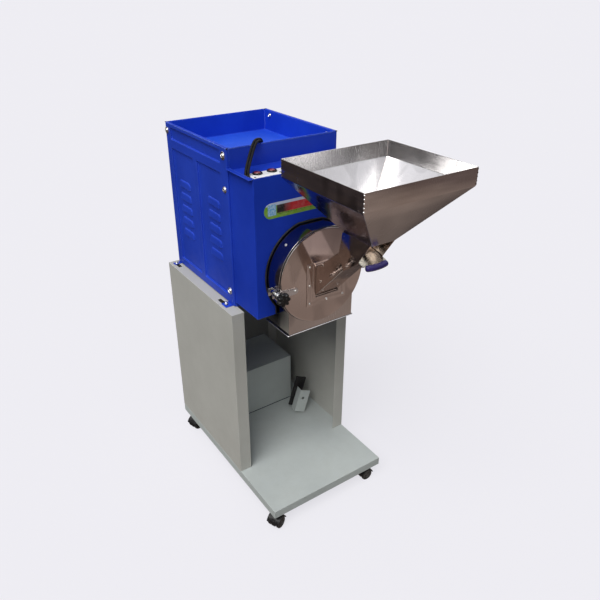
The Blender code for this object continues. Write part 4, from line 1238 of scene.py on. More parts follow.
# The outlet's folded rim: rectangle, inset, height over the chute's bottom, corner radius
OUTLET_SECTION = [
    (OUTLET_MOUTH, 0, 2.0, 1.0), (OUTLET_RECT, 1.0, 2.6, 2.0), (OUTLET_RECT, 0.2, 2.2, 2.0),
    (OUTLET_RECT, -0.4, 1.2, 2.2), (OUTLET_RECT, 0, 0.2, 2.0), (OUTLET_RECT, 1.2, 0, 1.6),
    (OUTLET_MOUTH, 0, 0, 1.0),
]


def drum_arc(steps=44):
    """Left chute edge, over the flat top, to the right chute edge, in x and z."""
    flat = math.acos(DRUM_FLAT / DRUM_R)
    end = math.pi - math.asin(CHUTE_HALF / DRUM_R)
    angles = [end + (flat - end) * k / steps for k in range(steps + 1)]
    left = [(-DRUM_R * math.sin(a), AXIS_Z + DRUM_R * math.cos(a)) for a in angles]
    return left + [(-x, z) for x, z in reversed(left)]


def build_chamber():
    outer = drum_arc()
    shrink = (DRUM_R - DRUM_WALL) / DRUM_R
    inner = [(-CHUTE_INNER, CHUTE_FOOT)]
    for x, z in outer:
        inner_x = x * shrink
        if z < AXIS_Z - 60:
            inner_x = max(-CHUTE_INNER, min(CHUTE_INNER, inner_x))
        inner.append((inner_x, AXIS_Z + (z - AXIS_Z) * shrink))
    inner.append((CHUTE_INNER, CHUTE_FOOT))
    outer = [(-CHUTE_HALF, CHUTE_FOOT)] + outer + [(CHUTE_HALF, CHUTE_FOOT)]
    band = prism(outer + list(reversed(inner)), -121.7, -8.0, "XZ")
    soften(band, 0.9, 3, 60.0)

    end = math.pi - math.asin(CHUTE_HALF / DRUM_FRONT_R)
    front = [(-CHUTE_HALF, CHUTE_FOOT)]
    for k in range(49):
        angle = end + (2 * math.pi - 2 * end) * k / 48
        x, z = -DRUM_FRONT_R * math.sin(angle), AXIS_Z + DRUM_FRONT_R * math.cos(angle)
        front.append((x, z))
    front.append((CHUTE_HALF, CHUTE_FOOT))
    front_wall = prism(front, -121.6, -119.4, "XZ", 0.5, 2)
    back_wall = block(
        (-CHUTE_HALF + 1, -12.0, CHUTE_FOOT), (CHUTE_HALF - 1, -10.0, AXIS_Z - 108), 0.4
    )
    chamber = group(band, front_wall, back_wall)
    chamber.normal_update()
    # The band's upper faces get the darker steel: painted dark reflection.
    for face in chamber.faces:
        if abs(face.normal.y) < 0.3 and face.calc_center_median().z > AXIS_Z - 60.0:
            face.material_index = 1
    add(
        "chamber_skin", chamber, [DRUM_STEEL, BAND_REFLECTION_STEEL], angle=11, replaces="chamber_shell",
    )


def build_outlet_rim():
    rings = [
        rect_ring(rect, inset, CHUTE_BOTTOM + height, corner)
        for rect, inset, height, corner in OUTLET_SECTION
    ]
    rim = loft(rings, closed=True)
    for face in rim.faces:
        if face.normal.z > 0.6 and face.calc_center_median().z > CHUTE_BOTTOM + 1.9:
            face.material_index = 1
    add("outlet_rim", rim, [HOPPER_IN_REFLECTION, RIM_DARK], angle=40)


def build_band_screws():
    """One screw on each shoulder of the drum."""
    angle = math.radians(44.0)
    heads = []
    for side in (-1, 1):
        out = Vector((side * math.sin(angle), 0, math.cos(angle)))
        spot = Vector((0, -92.0, AXIS_Z)) + out * (DRUM_R - 0.1)
        heads.append(screw(spot, out, radius=4.0, height=2.6, spin=0.6))
    add("band_screws", group(*heads), ZINC)


def build_edge_trim():
    """A rubber bead round the keyhole, up one side, over the top and down the other."""
    radius, flat, half = DRUM_R + 3.4, DRUM_FLAT + 3.2, CHUTE_HALF + 4.6
    y = BOX_FRONT - 2.5
    start = math.asin(half / radius)
    end = math.pi - math.acos(flat / radius)
    left = [(-half, y, 690.0)]
    for k in range(61):
        angle = start + (end - start) * k / 60
        left.append((-radius * math.sin(angle), y, AXIS_Z - radius * math.cos(angle)))
    x_top, _, z_top = left[-1]
    top = [(x_top * (1 - 2 * k / 8), y, z_top) for k in range(1, 8)]
    trim = tube(left + top + [(-x, y, z) for x, y, z in reversed(left)], 2.2, 12)
    add("edge_trim_skin", trim, RUBBER, angle=60, replaces="edge_trim")


build_chamber()
build_outlet_rim()
build_band_screws()
dress("chamber_back_plate", SCREEN_STEEL, bevel=0.4)
dress("screen", SCREEN_STEEL)
build_edge_trim()

# ---------------------------------------------------------------- door and hinge

DOOR_PROFILE = [
    (0, 0), (DOOR_R - 5.0, 0), (DOOR_R - 2.2, 0.1), (DOOR_R - 0.9, 0.5), (DOOR_R - 0.2, 1.2),
    (DOOR_R, 2.0), (DOOR_R - 0.3, 2.3), (DOOR_R - 1.5, 2.2), (0, 2.0),
]
STRAP_FACE = DOOR_FACE - 3.0
KNUCKLE_PROFILE = [(4.5, 6.9), (7.9, 6.9), (8.5, 6.3), (8.5, -6.3), (7.9, -6.9), (4.5, -6.9)]
BARREL_PROFILE = [(0, 7.3), (7.8, 7.3), (8.4, 6.7), (8.4, -6.7), (7.8, -7.3), (0, -7.3)]
HINGE_CAP_PROFILE = [(0, 2.4), (3.0, 2.2), (4.6, 1.4), (5.0, 0.0), (0, 0)]


def strap(x0, x1, z, left_height, right_height):
    """A flat strap on the door's face with round ends."""
    left, right = left_height / 2, right_height / 2
    points = arc((x0 + left, z), left, 90, 180, 12) + arc((x1 - right, z), right, -90, 180, 12)
    return prism(points, STRAP_FACE, DOOR_FACE - 0.1, "XZ", 0.5, 2)


def knob_bore(radius, y):
    return placed(cylinder(radius, 30, 32), (KNOB_X, y, KNOB_Z), FORWARD)


def build_door():
    disc = placed(lathe(DOOR_PROFILE, 144), (0, DOOR_FACE, AXIS_Z), BACKWARD)
    disc = carve(disc, block((-25.0, DOOR_FACE - 20, 748), (48.0, DOOR_FACE + 20, 828)))
    latch_strap = carve(strap(KNOB_X - 12.5, -84.0, KNOB_Z, 24.0, 18.0), knob_bore(4.7, DOOR_FACE))
    hinge_strap = strap(98.0, HINGE_X + 8.0, AXIS_Z, 26.0, 13.6)
    knuckle = placed(lathe(KNUCKLE_PROFILE, 40, loop=True), (HINGE_X, HINGE_Y, AXIS_Z))
    web = block(
        (HINGE_X + 3.5, DOOR_FACE - 2.8, AXIS_Z - 6.8), (HINGE_X + 7.9, HINGE_Y, AXIS_Z + 6.8), 0.5
    )
    add("door_skin", disc, DOOR_STEEL, body="door", replaces="door_disc")
    straps = group(latch_strap, hinge_strap, knuckle, web)
    add("door_straps", straps, BRACKET_STEEL, body="door")
    rivets = [
        screw((x, STRAP_FACE, z), (0, -1, 0), radius, height, cross=False)
        for x, z, radius, height in (
            (-93.0, KNOB_Z, 4.2, 3.0),
            (106.0, AXIS_Z + 6.5, 3.6, 2.4),
            (106.0, AXIS_Z - 6.5, 3.6, 2.4),
        )
    ]
    add("strap_rivets", group(*rivets), ZINC, body="door")


def build_hinge_bracket():
    back = BOX_FRONT - 0.3
    leaf = block(
        (HINGE_X - 3.5, back - 3.0, AXIS_Z - 32), (HINGE_X + 17, back, AXIS_Z + 32), 0.8, 2
    )
    pieces = [leaf]
    for side in (-1, 1):
        z0, z1 = sorted((AXIS_Z + side * 7.3, AXIS_Z + side * 22.0))
        pieces += [
            block((HINGE_X - 3.4, HINGE_Y, z0), (HINGE_X + 6, back - 1, z1), 0.6, 2),
            placed(lathe(BARREL_PROFILE, 40), (HINGE_X, HINGE_Y, (z0 + z1) / 2)),
            placed(
                lathe(HINGE_CAP_PROFILE, 32), (HINGE_X, HINGE_Y, AXIS_Z + side * 22.0),
                0 if side > 0 else math.pi,
            ),
            screw((HINGE_X + 10.5, back - 3.0, AXIS_Z + side * 26.0), (0, -1, 0), 4.0, 2.6, 0.5),
        ]
    pieces.append(placed(cylinder(4.0, 8, 28), (HINGE_X, HINGE_Y, AXIS_Z)))
    add(
        "hinge_bracket_skin", group(*pieces), BRACKET_STEEL, replaces="door_hinge_bracket",
    )


build_door()
dress("door_gasket", RUBBER)
build_hinge_bracket()

# ---------------------------------------------------------------- latch: lug, collar, knob, stud

COLLAR_PROFILE = [
    (4.5, 2.4), (7.8, 2.4), (8.8, 1.6), (9.0, 0.6), (9.0, -1.2), (8.4, -2.0), (7.6, -2.4),
    (4.5, -2.4),
]
# (share of the lobed radius, height)
KNOB_PROFILE = [
    (0, 10.2), (0.30, 10.2), (0.42, 9.8), (0.5, 8.9), (0.62, 8.9), (0.80, 8.6), (0.92, 7.6),
    (0.98, 5.8), (1.0, 3.2), (1.0, -4.0), (0.97, -7.0), (0.88, -9.2), (0.74, -10.0), (0, -10.0),
]
HUB_PROFILE = [(0, 4.2), (8.9, 4.2), (9.5, 3.4), (9.5, -3.6), (8.8, -4.1), (0, -4.1)]
STUD_TIP, THREAD_STEP = 134.5, 0.5


def build_lug():
    (x0, y0, z0), (x1, y1, z1) = LUG_LOW, LUG_HIGH
    ears = [
        carve(block((x0, y, z0), (x1 - 0.2, y + 3.0, z1), 0.7, 2), knob_bore(4.6, y))
        for y in (y0, y1 - 3.0)
    ]
    foot = block((x1 - 2.6, y0 + 1, z0), (x1, y1 - 1, z1), 0.6, 2)
    nut = lathe(
        [(0, 6), (0.9, 6), (1, 5.4), (1, 0), (0, 0)], 48, shape=lambda angle: 7.5 * hexagon(angle)
    )
    nut = carve(placed(nut, (KNOB_X, y0 + 3.2, KNOB_Z), BACKWARD), knob_bore(4.5, y0))
    add(
        "latch_lug_skin", group(*ears, foot, nut), ZINC, replaces="latch_lug",
    )


def build_knob():
    low, high = corners("knob_collar")
    collar_at = (KNOB_X, (low[1] + high[1]) / 2, KNOB_Z)
    collar = placed(lathe(COLLAR_PROFILE, 44, loop=True), collar_at, FORWARD)
    add(
        "knob_collar_skin", collar, ZINC, body="knob_collar", replaces="knob_collar",
    )

    def lobes(angle):
        return 16.9 + 2.9 * math.cos(7 * angle) - 0.5 * math.cos(14 * angle)

    star = placed(lathe(KNOB_PROFILE, 140, shape=lobes), (KNOB_X, -151.0, KNOB_Z), FORWARD)
    hub = placed(lathe(HUB_PROFILE, 40), (KNOB_X, -138.7, KNOB_Z), FORWARD)
    add(
        "star_knob_skin", group(star, hub), KNOB_BLACK, angle=40, body="star_knob",
        replaces="star_knob",
    )
    thread = [(3.9 if k % 2 else 3.45, STUD_TIP - k * THREAD_STEP) for k in range(56)]
    stud = lathe([(0, STUD_TIP)] + thread + [(0, thread[-1][1])], 28)
    stud = placed(stud, (KNOB_X, 0, KNOB_Z), FORWARD)
    add("knob_stud", stud, ZINC, angle=50, body="star_knob")


build_lug()
build_knob()

# ---------------------------------------------------------------- inlet duct and its frame

DUCT_X = (-26.5, 49.5)
DUCT_Y = DOOR_FACE - 0.3  # the plane where the duct meets the door
# The duct's lower and upper walls in y and z, from the door to the neck
DUCT_BOTTOM = Vector((DUCT_Y, 746.0)), Vector((-255.0, 882.1))
DUCT_TOP = Vector((DUCT_Y, 830.0)), Vector((-235.5, 922.2))
FRAME_SCREWS = ((-46, 727), (-46, 782), (-46, 837), (68, 727), (68, 782), (68, 837), (11, 727))


def duct_ring(share, inset, corner):
    """A rounded rectangle across the duct, a share of the way from the door to the neck."""
    bottom = DUCT_BOTTOM[0] + (DUCT_BOTTOM[1] - DUCT_BOTTOM[0]) * share
    top = DUCT_TOP[0] + (DUCT_TOP[1] - DUCT_TOP[0]) * share
    rise = (top - bottom).normalized()
    out = []
    for x, up, _ in rect_ring((*DUCT_X, 0, (top - bottom).length), inset, 0, corner):
        point = bottom + rise * up
        out.append((x, point.x, point.y))
    return out


def window(outer, hole, front, back):
    """A flat plate with a rectangular hole; both rectangles are x0, x1, z0, z1."""
    x0, x1, z0, z1 = outer
    plate = prism([(x0, z0), (x1, z0), (x1, z1), (x0, z1)], front, back, "XZ")
    x0, x1, z0, z1 = hole
    plate = carve(plate, block((x0, DUCT_Y - 20, z0), (x1, DUCT_Y + 20, z1)))
    return soften(plate, 0.4, 2, 60)


def build_duct():
    rings = [duct_ring(share, inset=0, corner=2.2) for share in (0, 0.5, 1)]
    rings += [duct_ring(share, inset=1.2, corner=1.2) for share in (1, 0.5, 0)]
    add(
        "inlet_duct_skin", loft(rings, closed=True), DUCT_STEEL, body="door",
        replaces="inlet_duct",
    )
    plate = window((-55, 78, 718, 846), (-33.5, 56.5, 738, 838), DUCT_Y - 1.6, DUCT_Y)
    lip = window((-36, 59, 735.5, 840.5), (-27.2, 50.2, 742, 834), DUCT_Y - 2.6, DUCT_Y - 1.5)
    add("duct_frame", group(plate, lip), DOOR_STEEL, body="door")
    heads = [
        screw((x, DUCT_Y - 1.6, z), (0, -1, 0), radius=3.4, height=2.2, spin=x * 0.1 + z)
        for x, z in FRAME_SCREWS
    ]
    add("duct_frame_screws", group(*heads), ZINC, body="door")


build_duct()

# ---------------------------------------------------------------- hopper

HOPPER_RECT = (HOPPER_LOW[0], HOPPER_HIGH[0], HOPPER_LOW[1], HOPPER_HIGH[1])
HOPPER_TOP, HOPPER_BEND = 1152.5, 1109.0  # the rim, and the bend where the slopes start
OUTLET_X0, OUTLET_X1, OUTLET_Y0, OUTLET_Y1, OUTLET_Z = -22.0, 47.0, -342.0, -238.0, 968.0
HOPPER_OUTLET = (OUTLET_X0, OUTLET_X1, OUTLET_Y0, OUTLET_Y1)
WALL = 1.2
# Upright walls, from the rim down: inset, z, corner radius
OUTER_WALL = [
    (0.5, HOPPER_TOP, 0.8), (0.1, HOPPER_TOP - 0.5, 0.9), (0.0, HOPPER_TOP - 1.2, 1.0),
    (0.0, HOPPER_BEND + 1.6, 1.0), (0.35, HOPPER_BEND + 0.5, 1.0),
]
INNER_WALL = [
    (0.5, HOPPER_TOP, 0.8), (WALL - 0.1, HOPPER_TOP - 0.4, 0.7), (WALL, HOPPER_TOP - 1.0, 0.6),
    (WALL, HOPPER_BEND + 2.0, 0.6), (WALL + 0.4, HOPPER_BEND + 0.9, 0.6),
]
# The neck's side outline in y and z
NECK = [(-227.0, 918.5), (-238.0, 971.5), (-342.0, 971.5), (-297.5, 906.5), (-245.0, 869.0)]
NECK_X0, NECK_X1 = -28.5, 51.5
# Each corner: sides in x and y, its rim corner and its outlet corner
HOPPER_CORNERS = [
    (side_x, side_y, (x, y), (outlet_x, outlet_y))
    for side_y, y, outlet_y in (
        (-1, HOPPER_LOW[1], OUTLET_Y0), (1, HOPPER_HIGH[1], OUTLET_Y1)
    )
    for side_x, x, outlet_x in (
        (-1, HOPPER_LOW[0], OUTLET_X0), (1, HOPPER_HIGH[0], OUTLET_X1)
    )
]


def slope_ring(share, inset, corner, lift=0.0):
    """The hopper's section a share of the way from the bend to the outlet."""
    rect = [a + (b - a) * share for a, b in zip(HOPPER_RECT, HOPPER_OUTLET)]
    z = HOPPER_BEND - (HOPPER_BEND - OUTLET_Z) * share + lift
    return rect_ring(rect, inset, z, corner, steps=3)


def hopper_skin(wall, corner, bend_inset, bend_lift, slope_inset):
    rings = [rect_ring(HOPPER_RECT, inset, z, radius, steps=3) for inset, z, radius in wall]
    rings.append(slope_ring(0.012, bend_inset, corner, bend_lift))
    rings += [slope_ring(share, slope_inset, corner) for share in (0.25, 0.5, 0.75, 1.0)]
    return loft(rings)


def neck_wall(start, end, thickness):
    start, end = Vector(start), Vector(end)
    way = (end - start).normalized()
    offset = Vector((way.y, -way.x)) * thickness
    points = [tuple(start), tuple(end), tuple(end + offset), tuple(start + offset)]
    return prism(points, NECK_X0 + WALL, NECK_X1 - WALL, "YZ", 0.3, 2)


def build_hopper():
    outside = hopper_skin(OUTER_WALL, 1.0, bend_inset=0.0, bend_lift=0.0, slope_inset=0.0)
    inside = hopper_skin(
        INNER_WALL, 0.6, bend_inset=WALL * 1.2, bend_lift=0.5, slope_inset=WALL * 1.3
    )
    for face in inside.faces:
        face.material_index = 1
    body = group(outside, inside)
    body.normal_update()
    # Faces by direction get the copies with painted reflections: the left faces, their undersides, the
    # upright walls inside and the inside slopes.
    for face in body.faces:
        normal = face.normal
        if face.material_index == 0 and normal.x < -0.3 and abs(normal.y) < 0.5:
            face.material_index = 4 if normal.z < -0.2 else 2
        elif face.material_index == 1 and face.calc_center_median().z < HOPPER_BEND - 1.0:
            face.material_index = 3
    add(
        "hopper_skin", body, [HOPPER_STEEL, HOPPER_IN_REFLECTION, HOPPER_LEFT_REFLECTION, HOPPER_SLOPE_REFLECTION, HOPPER_UNDER_REFLECTION],
        angle=25, body="hopper", replaces="hopper",
    )


def build_neck():
    sides = [
        prism(NECK, x, x + WALL, "YZ", 0.35, 2) for x in (NECK_X0, NECK_X1 - WALL)
    ]
    back = neck_wall(NECK[0], NECK[1], -WALL)
    front = neck_wall(NECK[4], NECK[3], WALL)
    ledge = carve(
        block((NECK_X0 + 0.4, NECK[2][0] + 0.4, 970.2), (NECK_X1 - 0.4, NECK[1][0] - 0.4, 971.4)),
        block((OUTLET_X0 + 1.5, OUTLET_Y0 + 1.5, 960), (OUTLET_X1 - 1.5, OUTLET_Y1 - 1.5, 980)),
    )
    neck = group(*sides, back, front, ledge)
    add("hopper_neck", neck, DUCT_STEEL, body="hopper")


def build_corner_tacks():
    """Weld tacks up the outside of each upright corner."""
    tacks = []
    for side_x, side_y, (x, y), _ in HOPPER_CORNERS:
        for k, z in enumerate((1113.0, 1121.0, 1130.0, 1139.0, 1147.5)):
            bead = lathe(
                [(0, 0.9), (0.5, 0.75), (0.85, 0.4), (1.0, 0.0)], 16,
                shape=lambda angle: 1.9 + 0.35 * math.cos(2 * angle),
            )
            spot = (x - side_x * 0.35, y - side_y * 0.35, z)
            tacks.append(moved(bead, along(spot, (side_x, side_y, 0), 0.7 * k)))
    add("hopper_corner_tacks", group(*tacks), HOPPER_IN_REFLECTION, angle=50, body="hopper")


def build_inside_seams():
    """Weld seams inside: down the four slopes' corners, then up the four upright ones."""
    seams = []
    for side_x, side_y, rim, outlet in HOPPER_CORNERS:
        start, end = Vector((*rim, HOPPER_BEND)), Vector((*outlet, OUTLET_Z))
        offset = Vector((-side_x, -side_y, 0)) * 1.1
        shares = [0.02 + 0.96 * i / 40 for i in range(41)]
        path = [start + (end - start) * s + offset + Vector((0, 0, 1.0)) for s in shares]
        seams.append(tube(path, lambda share: 0.75 + 0.16 * math.sin(share * 180), 8))
    height = HOPPER_TOP - HOPPER_BEND - 3.0
    for side_x, side_y, (x, y), _ in HOPPER_CORNERS:
        x, y = x - side_x * 1.9, y - side_y * 1.9
        path = [(x, y, HOPPER_BEND + 0.5 + height * i / 20) for i in range(21)]
        seams.append(tube(path, lambda share: 1.0 + 0.2 * math.sin(share * 40), 8))
    add("hopper_inside_seams", group(*seams), HOPPER_STEEL, angle=60, body="hopper")


build_hopper()
build_neck()
build_corner_tacks()
build_inside_seams()

# ---------------------------------------------------------------- feed gate and its grip

GRIP_WIDTH, GRIP_R, GRIP_END = 68.0, 8.2, 6.0
GRIP_BOW, GRIP_BOW_WIDTH = 6.0, 75.0  # how far the grip bows forward, and over what width


def grip_radius(share):
    """Full along the grip and rounded off at both ends."""
    from_end = min(share, 1 - share) * GRIP_WIDTH
    return GRIP_R * math.sqrt(max(0.04, 1 - (1 - min(from_end / GRIP_END, 1.0)) ** 2))


def build_grip():
    tilt = Matrix.Rotation(math.radians(12), 4, "X")
    place = Matrix.Translation(Vector((11.5, -299.0, 911.5))) @ tilt
    path = []
    for k in range(41):
        x = GRIP_WIDTH * (k / 40 - 0.5)
        share = x / GRIP_BOW_WIDTH + 0.5
        path.append(place @ Vector((x, -23.5 - GRIP_BOW * 4 * share * (1 - share), -2.6)))
    grip = tube(path, grip_radius, 20, up=(0, -0.2, 1))
    add(
        "gate_grip_skin", grip, INDIGO, angle=60, body="feed_gate", replaces="gate_grip",
    )


dress("feed_gate", GATE_STEEL, bevel=0.3)
build_grip()

# ---------------------------------------------------------------- folded plate and pad in the bay

FOLD = [(0, 0), (40, 0), (40, 2), (2, 2), (2, 30), (0, 30)]  # the plate's section in x and y


def build_bay_pieces():
    """A painted shadow line under the equipment box, and a folded plate and a pad that lean together.
    """
    low, high = corners("rear_equipment_box")
    # A near-black strip: painted shadow in the gap under the box's front.
    gap = block(
        (low[0] + 1.0, low[1] - 0.5, low[2]), (high[0] - 1.0, low[1] + 0.5, low[2] + 2.4), 0.2, 1
    )
    add("equipment_box_shadow_line", gap, DARK)
    lean = Matrix.Translation((98.0, 158.0, 96.5))
    for degrees, axis in ((-12, "Z"), (19, "Y"), (-6, "X")):
        lean = lean @ Matrix.Rotation(math.radians(degrees), 4, axis)
    plate = prism(FOLD, 0, 88, "XY", 0.4, 1)
    plate = carve(plate, placed(cylinder(5.5, 30, 24), (18, 1, 56), FORWARD))
    add("bay_folded_plate", moved(plate, lean), GREY_BOX)
    pad = block((-14, 31, 10), (26, 37, 126), 1.2, 3)
    add("bay_rubber_pad", moved(pad, lean), BLACK)


build_bay_pieces()

# ---------------------------------------------------------------- inside: motor, rotor, hammers

for part, part_material, part_bevel in (
    ("motor_housing", MOTOR_PAINT, 0.6),
    ("motor_front_endshield", MOTOR_PAINT, 0.6),
    ("motor_rear_endshield", MOTOR_PAINT, 0.6),
    ("motor_fan_cover", MOTOR_PAINT, 0.0),
    ("motor_terminal_box", MOTOR_PAINT, 1.2),
    ("motor_fan", FAN_BLACK, 0.0),
    ("shaft_bearing_front", BEARING_STEEL, 0.4),
    ("shaft_bearing_rear", BEARING_STEEL, 0.4),
    ("motor_shaft", ROTOR_STEEL, 0.0),
    ("rotor", ROTOR_STEEL, 0.0),
):
    dress(part, part_material, part_bevel)
for number in (1, 2, 3, 4):
    dress(f"hammer_{number}", HAMMER_STEEL, bevel=0.7)
    dress(f"hammer_pin_{number}", ZINC)

# ---------------------------------------------------------------- stickers, without lettering

STICKER_BACK = BOX_FRONT - 0.02
STICKER_FRONT = STICKER_BACK - 0.25


def sticker(name, outline, layers):
    """A thin film on the front sheet; layers(mat, x, z) gives its colour, in metres."""
    film = prism(outline, STICKER_FRONT, STICKER_BACK, "XZ", 0.08, 1)
    mat = new_shader(name + "_print")
    place = mat.node("SeparateXYZ", {0: mat.obj()})
    colour = layers(mat, place.outputs[0], place.outputs[2])
    fade = mat.mask(scale=90.0, detail=4.0, low=0.4, high=0.8)
    colour = mat.over(colour, (0.55, 0.55, 0.6), fade, 0.12)
    normal = mat.bump(mat.noise(scale=200.0, detail=2.0), strength=0.05, distance_mm=0.05)
    roughness = mat.mask(scale=50.0, low=0.3, high=0.7, to=(0.22, 0.36))
    material = mat.finish(
        Base_Color=colour, Roughness=roughness, Normal=normal, Coat_Weight=0.3
    )
    add(name, film, material)


def band_print(mat, x, z):
    """Red over green with a dark left end, a row of marks, a pale top edge and an emblem."""
    red_from = 0.9815
    marks_from, marks_to = 0.9775, 0.9805
    emblem_x, emblem_z, half_x, half_z = 0.119, 0.992, 0.013, 0.0155  # emblem_x is to the left

    def before(value, place, width=0.0004):
        return mat.math("SUBTRACT", 1.0, mat.step(value, place, width))

    def nearness(offset, half):
        return mat.math("SUBTRACT", 1.0, mat.math("ABSOLUTE", mat.math("DIVIDE", offset, half)))

    colour = mat.mix(mat.step(z, red_from), srgb(120, 168, 44), srgb(196, 30, 38))
    dark_end = mat.times(before(x, -0.070, 0.014), mat.step(z, red_from))
    colour = mat.mix(dark_end, colour, srgb(16, 12, 22))
    colour = mat.mix(before(x, -0.104, 0.001), colour, srgb(122, 172, 52))
    blocks = mat.noise(detail=2.0, stretch=(260.0, 1.0, 420.0))
    row = mat.times(mat.step(z, marks_from), before(z, marks_to))
    row = mat.times(row, mat.span(blocks, low=0.5, high=0.52))
    colour = mat.mix(row, colour, srgb(60, 92, 40))
    top_edge = mat.math("MAXIMUM", mat.step(z, 1.0035, 0.0006), 0.0)
    colour = mat.mix(top_edge, colour, srgb(196, 208, 232))
    near_x = nearness(mat.math("ADD", x, emblem_x), half_x)
    near_z = nearness(mat.math("SUBTRACT", z, emblem_z), half_z)
    emblem = mat.span(mat.math("MINIMUM", near_x, near_z), low=0.0, high=0.08)
    weave = mat.mask(detail=2.0, stretch=(240.0, 1.0, 240.0), low=0.42, high=0.58)
    return mat.mix(emblem, colour, mat.mix(weave, srgb(96, 170, 226), srgb(176, 212, 240)))


OVAL_X, OVAL_Z, OVAL_MID = 50, 22, 1045  # half sizes and middle height, mm


def oval_print(mat, x, z):
    """A green oval with a dark border."""
    across = mat.math("DIVIDE", x, 0.05)
    rise = mat.math("DIVIDE", mat.math("SUBTRACT", z, 1.045), 0.022)
    squares = mat.math("ADD", mat.times(across, across), mat.times(rise, rise))
    border = mat.span(mat.math("SQRT", squares), low=0.66, high=0.70)
    return mat.mix(border, srgb(150, 176, 40), srgb(16, 18, 24))


BAND_HALF, BAND_Z0, BAND_Z1 = 143.0, 969.0, 1011.0
BAND_R, BAND_MID = (BAND_Z1 - BAND_Z0) / 2, (BAND_Z0 + BAND_Z1) / 2
sticker(
    "front_band_sticker",
    arc((-BAND_HALF + BAND_R, BAND_MID), BAND_R, 90, 180, 16)
    + arc((BAND_HALF - BAND_R, BAND_MID), BAND_R, -90, 180, 16),
    band_print,
)
OVAL_ANGLES = [2 * math.pi * k / 48 for k in range(48)]
sticker(
    "front_oval_sticker",
    [(OVAL_X * math.cos(a), OVAL_MID + OVAL_Z * math.sin(a)) for a in OVAL_ANGLES],
    oval_print,
)

# ---------------------------------------------------------------- floor

PALE = srgb(238, 237, 243)


def floor_material():
    """Pale to the camera, grey to bounced light, and a dim patchy room in reflections."""
    mat = new_shader("studio_floor")
    tone = mat.mix(mat.noise(scale=0.8, detail=2.0), PALE, darker(PALE, 0.995))
    lit = mat.node("BsdfDiffuse", {"Color": tone})
    flat = mat.node("Emission", {"Color": tone, "Strength": 1.0})
    bounce = mat.node("BsdfDiffuse", {"Color": (0.22, 0.215, 0.21, 1)})
    rays = mat.node("LightPath")
    place = mat.node("SeparateXYZ", {0: mat.node("NewGeometry").outputs["Position"]})
    patches = mat.mask(scale=1.5, detail=4.0, rough=0.6, low=0.35, high=0.68)
    ahead = mat.mix(patches, (0.235, 0.185, 0.165), (0.40, 0.325, 0.295))
    behind = mat.mix(patches, (0.02, 0.018, 0.024), (0.085, 0.068, 0.062))
    aside = mat.mix(patches, (0.12, 0.09, 0.09), (0.22, 0.17, 0.16))
    room = mat.mix(mat.span(place.outputs[1], low=-0.5, high=0.5), ahead, behind)
    room = mat.mix(mat.span(place.outputs[0], low=1.3, high=3.2), room, aside)
    mirrored = mat.node("Emission", {"Color": room, "Strength": 1.0})
    seen = mat.node("MixShader", {0: 0.82, 1: lit.outputs[0], 2: flat.outputs[0]})
    direct = mat.node(
        "MixShader", {0: rays.outputs["Is Camera Ray"], 1: bounce.outputs[0], 2: seen.outputs[0]}
    )
    surface = mat.node(
        "MixShader",
        {0: rays.outputs["Is Glossy Ray"], 1: direct.outputs[0], 2: mirrored.outputs[0]},
    )
    mat.node("OutputMaterial", {"Surface": surface.outputs[0]})
    return mat.owner


def build_floor():
    disc = bmesh.new()
    bmesh.ops.create_circle(disc, cap_ends=True, segments=96, radius=60.0)
    mesh = bpy.data.meshes.new("studio_floor")
    disc.to_mesh(mesh)
    disc.free()
    ground = bpy.data.objects.new("studio_floor", mesh)
    SCENE.collection.objects.link(ground)
    mesh.materials.append(floor_material())


build_floor()

# ---------------------------------------------------------------- world

# The reflected room from below to overhead: ramp position, colour
ROOM_STOPS = [
    (0.0, (0.13, 0.10, 0.085)), (0.18, (0.09, 0.075, 0.07)), (0.25, (0.22, 0.19, 0.18)),
    (0.36, (0.34, 0.31, 0.3)), (0.46, (0.62, 0.6, 0.6)), (0.6, (1.1, 1.1, 1.14)),
    (1.0, (1.25, 1.25, 1.3)),
]


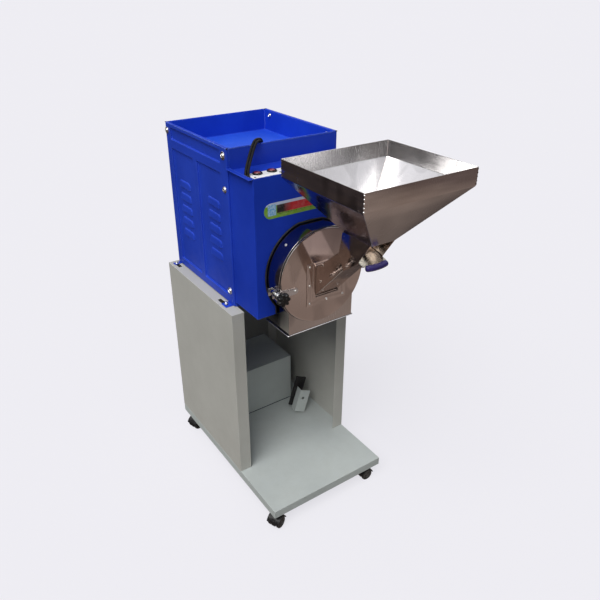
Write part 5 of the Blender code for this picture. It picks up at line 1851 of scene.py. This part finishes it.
def build_world():
    """Pale to the camera, a streaked room in reflections and a soft sky for diffuse light."""
    SCENE.world = bpy.data.worlds.new("studio")
    sky = Shader(SCENE.world)
    direction = sky.node("TexCoord").outputs["Generated"]
    up = sky.axis(direction, 2)
    sideways = sky.axis(direction, 0)
    ramp = sky.node("ValToRGB", {0: sky.span(up, low=-0.2, high=0.9)})
    stops = ramp.color_ramp.elements
    for stop, (position, colour) in ((stops[0], ROOM_STOPS[0]), (stops[1], ROOM_STOPS[-1])):
        stop.position = position
        stop.color = (*colour, 1)
    for position, colour in ROOM_STOPS[1:-1]:
        stops.new(position).color = (*colour, 1)

    stretched = sky.node("Mapping", {"Vector": direction, "Scale": (4.2, 4.2, 0.7)}).outputs[0]
    streaks = sky.node("TexNoise", {"Vector": stretched, "Scale": 1.0, "Detail": 2.0})
    streaks = streaks.outputs["Fac"]
    low = sky.span(up, low=0.75, high=0.2)
    dark = sky.times(sky.span(streaks, low=0.47, high=0.56), low)
    room = sky.mix(dark, ramp.outputs[0], (0.06, 0.055, 0.06))
    bright = sky.times(sky.span(streaks, low=0.40, high=0.36), low)
    room = sky.mix(bright, room, (1.3, 1.28, 1.28))
    glossy = sky.node("Background", {"Color": room, "Strength": 1.0})

    soft = sky.mix(sky.span(up, low=-0.1, high=0.9), (0.30, 0.29, 0.29), (0.98, 1.02, 1.08))
    from_left = sky.span(sideways, low=1.0, high=-1.0, to=(0.0, 0.4))
    soft = sky.mix(from_left, soft, (1.1, 1.05, 1.0))
    diffuse = sky.node("Background", {"Color": soft, "Strength": 0.35})
    seen = sky.node("Background", {"Color": (*PALE, 1), "Strength": 1.0})
    rays = sky.node("LightPath").outputs
    light = sky.node(
        "MixShader", {0: rays["Is Glossy Ray"], 1: diffuse.outputs[0], 2: glossy.outputs[0]}
    )
    surface = sky.node(
        "MixShader", {0: rays["Is Camera Ray"], 1: light.outputs[0], 2: seen.outputs[0]}
    )
    sky.node("OutputWorld", {"Surface": surface.outputs[0]})


build_world()

# ---------------------------------------------------------------- light and camera


def build_sun():
    """One wide, slightly warm sun from above, in front and to the left."""
    data = bpy.data.lights.new("key", "SUN")
    data.energy = 2.8
    data.angle = math.radians(46)
    data.color = (1.0, 0.985, 0.955)
    data.specular_factor = 0.0
    ob = bpy.data.objects.new("key", data)
    ob.rotation_euler = Vector((0.50, 0.29, -0.81)).to_track_quat("-Z", "Y").to_euler()
    SCENE.collection.objects.link(ob)


def build_camera():
    """A camera in front, to the left and above, looking down at the machine."""
    place = (-0.890927, -1.304496, 1.528300)
    right = (0.82338522, -0.56747704, 0.00256574)
    upward = (0.26964478, 0.39521345, 0.87812187)
    backward = (-0.49932802, -0.72234073, 0.47843014)
    data = bpy.data.cameras.new("camera")
    data.sensor_width = 36.0
    data.lens = 36.18573
    data.clip_end = 200.0
    ob = bpy.data.objects.new("camera", data)
    SCENE.collection.objects.link(ob)
    ob.matrix_world = Matrix((*zip(right, upward, backward, place), (0, 0, 0, 1)))
    SCENE.camera = ob


build_sun()
build_camera()
SCENE.view_settings.view_transform = "Standard"
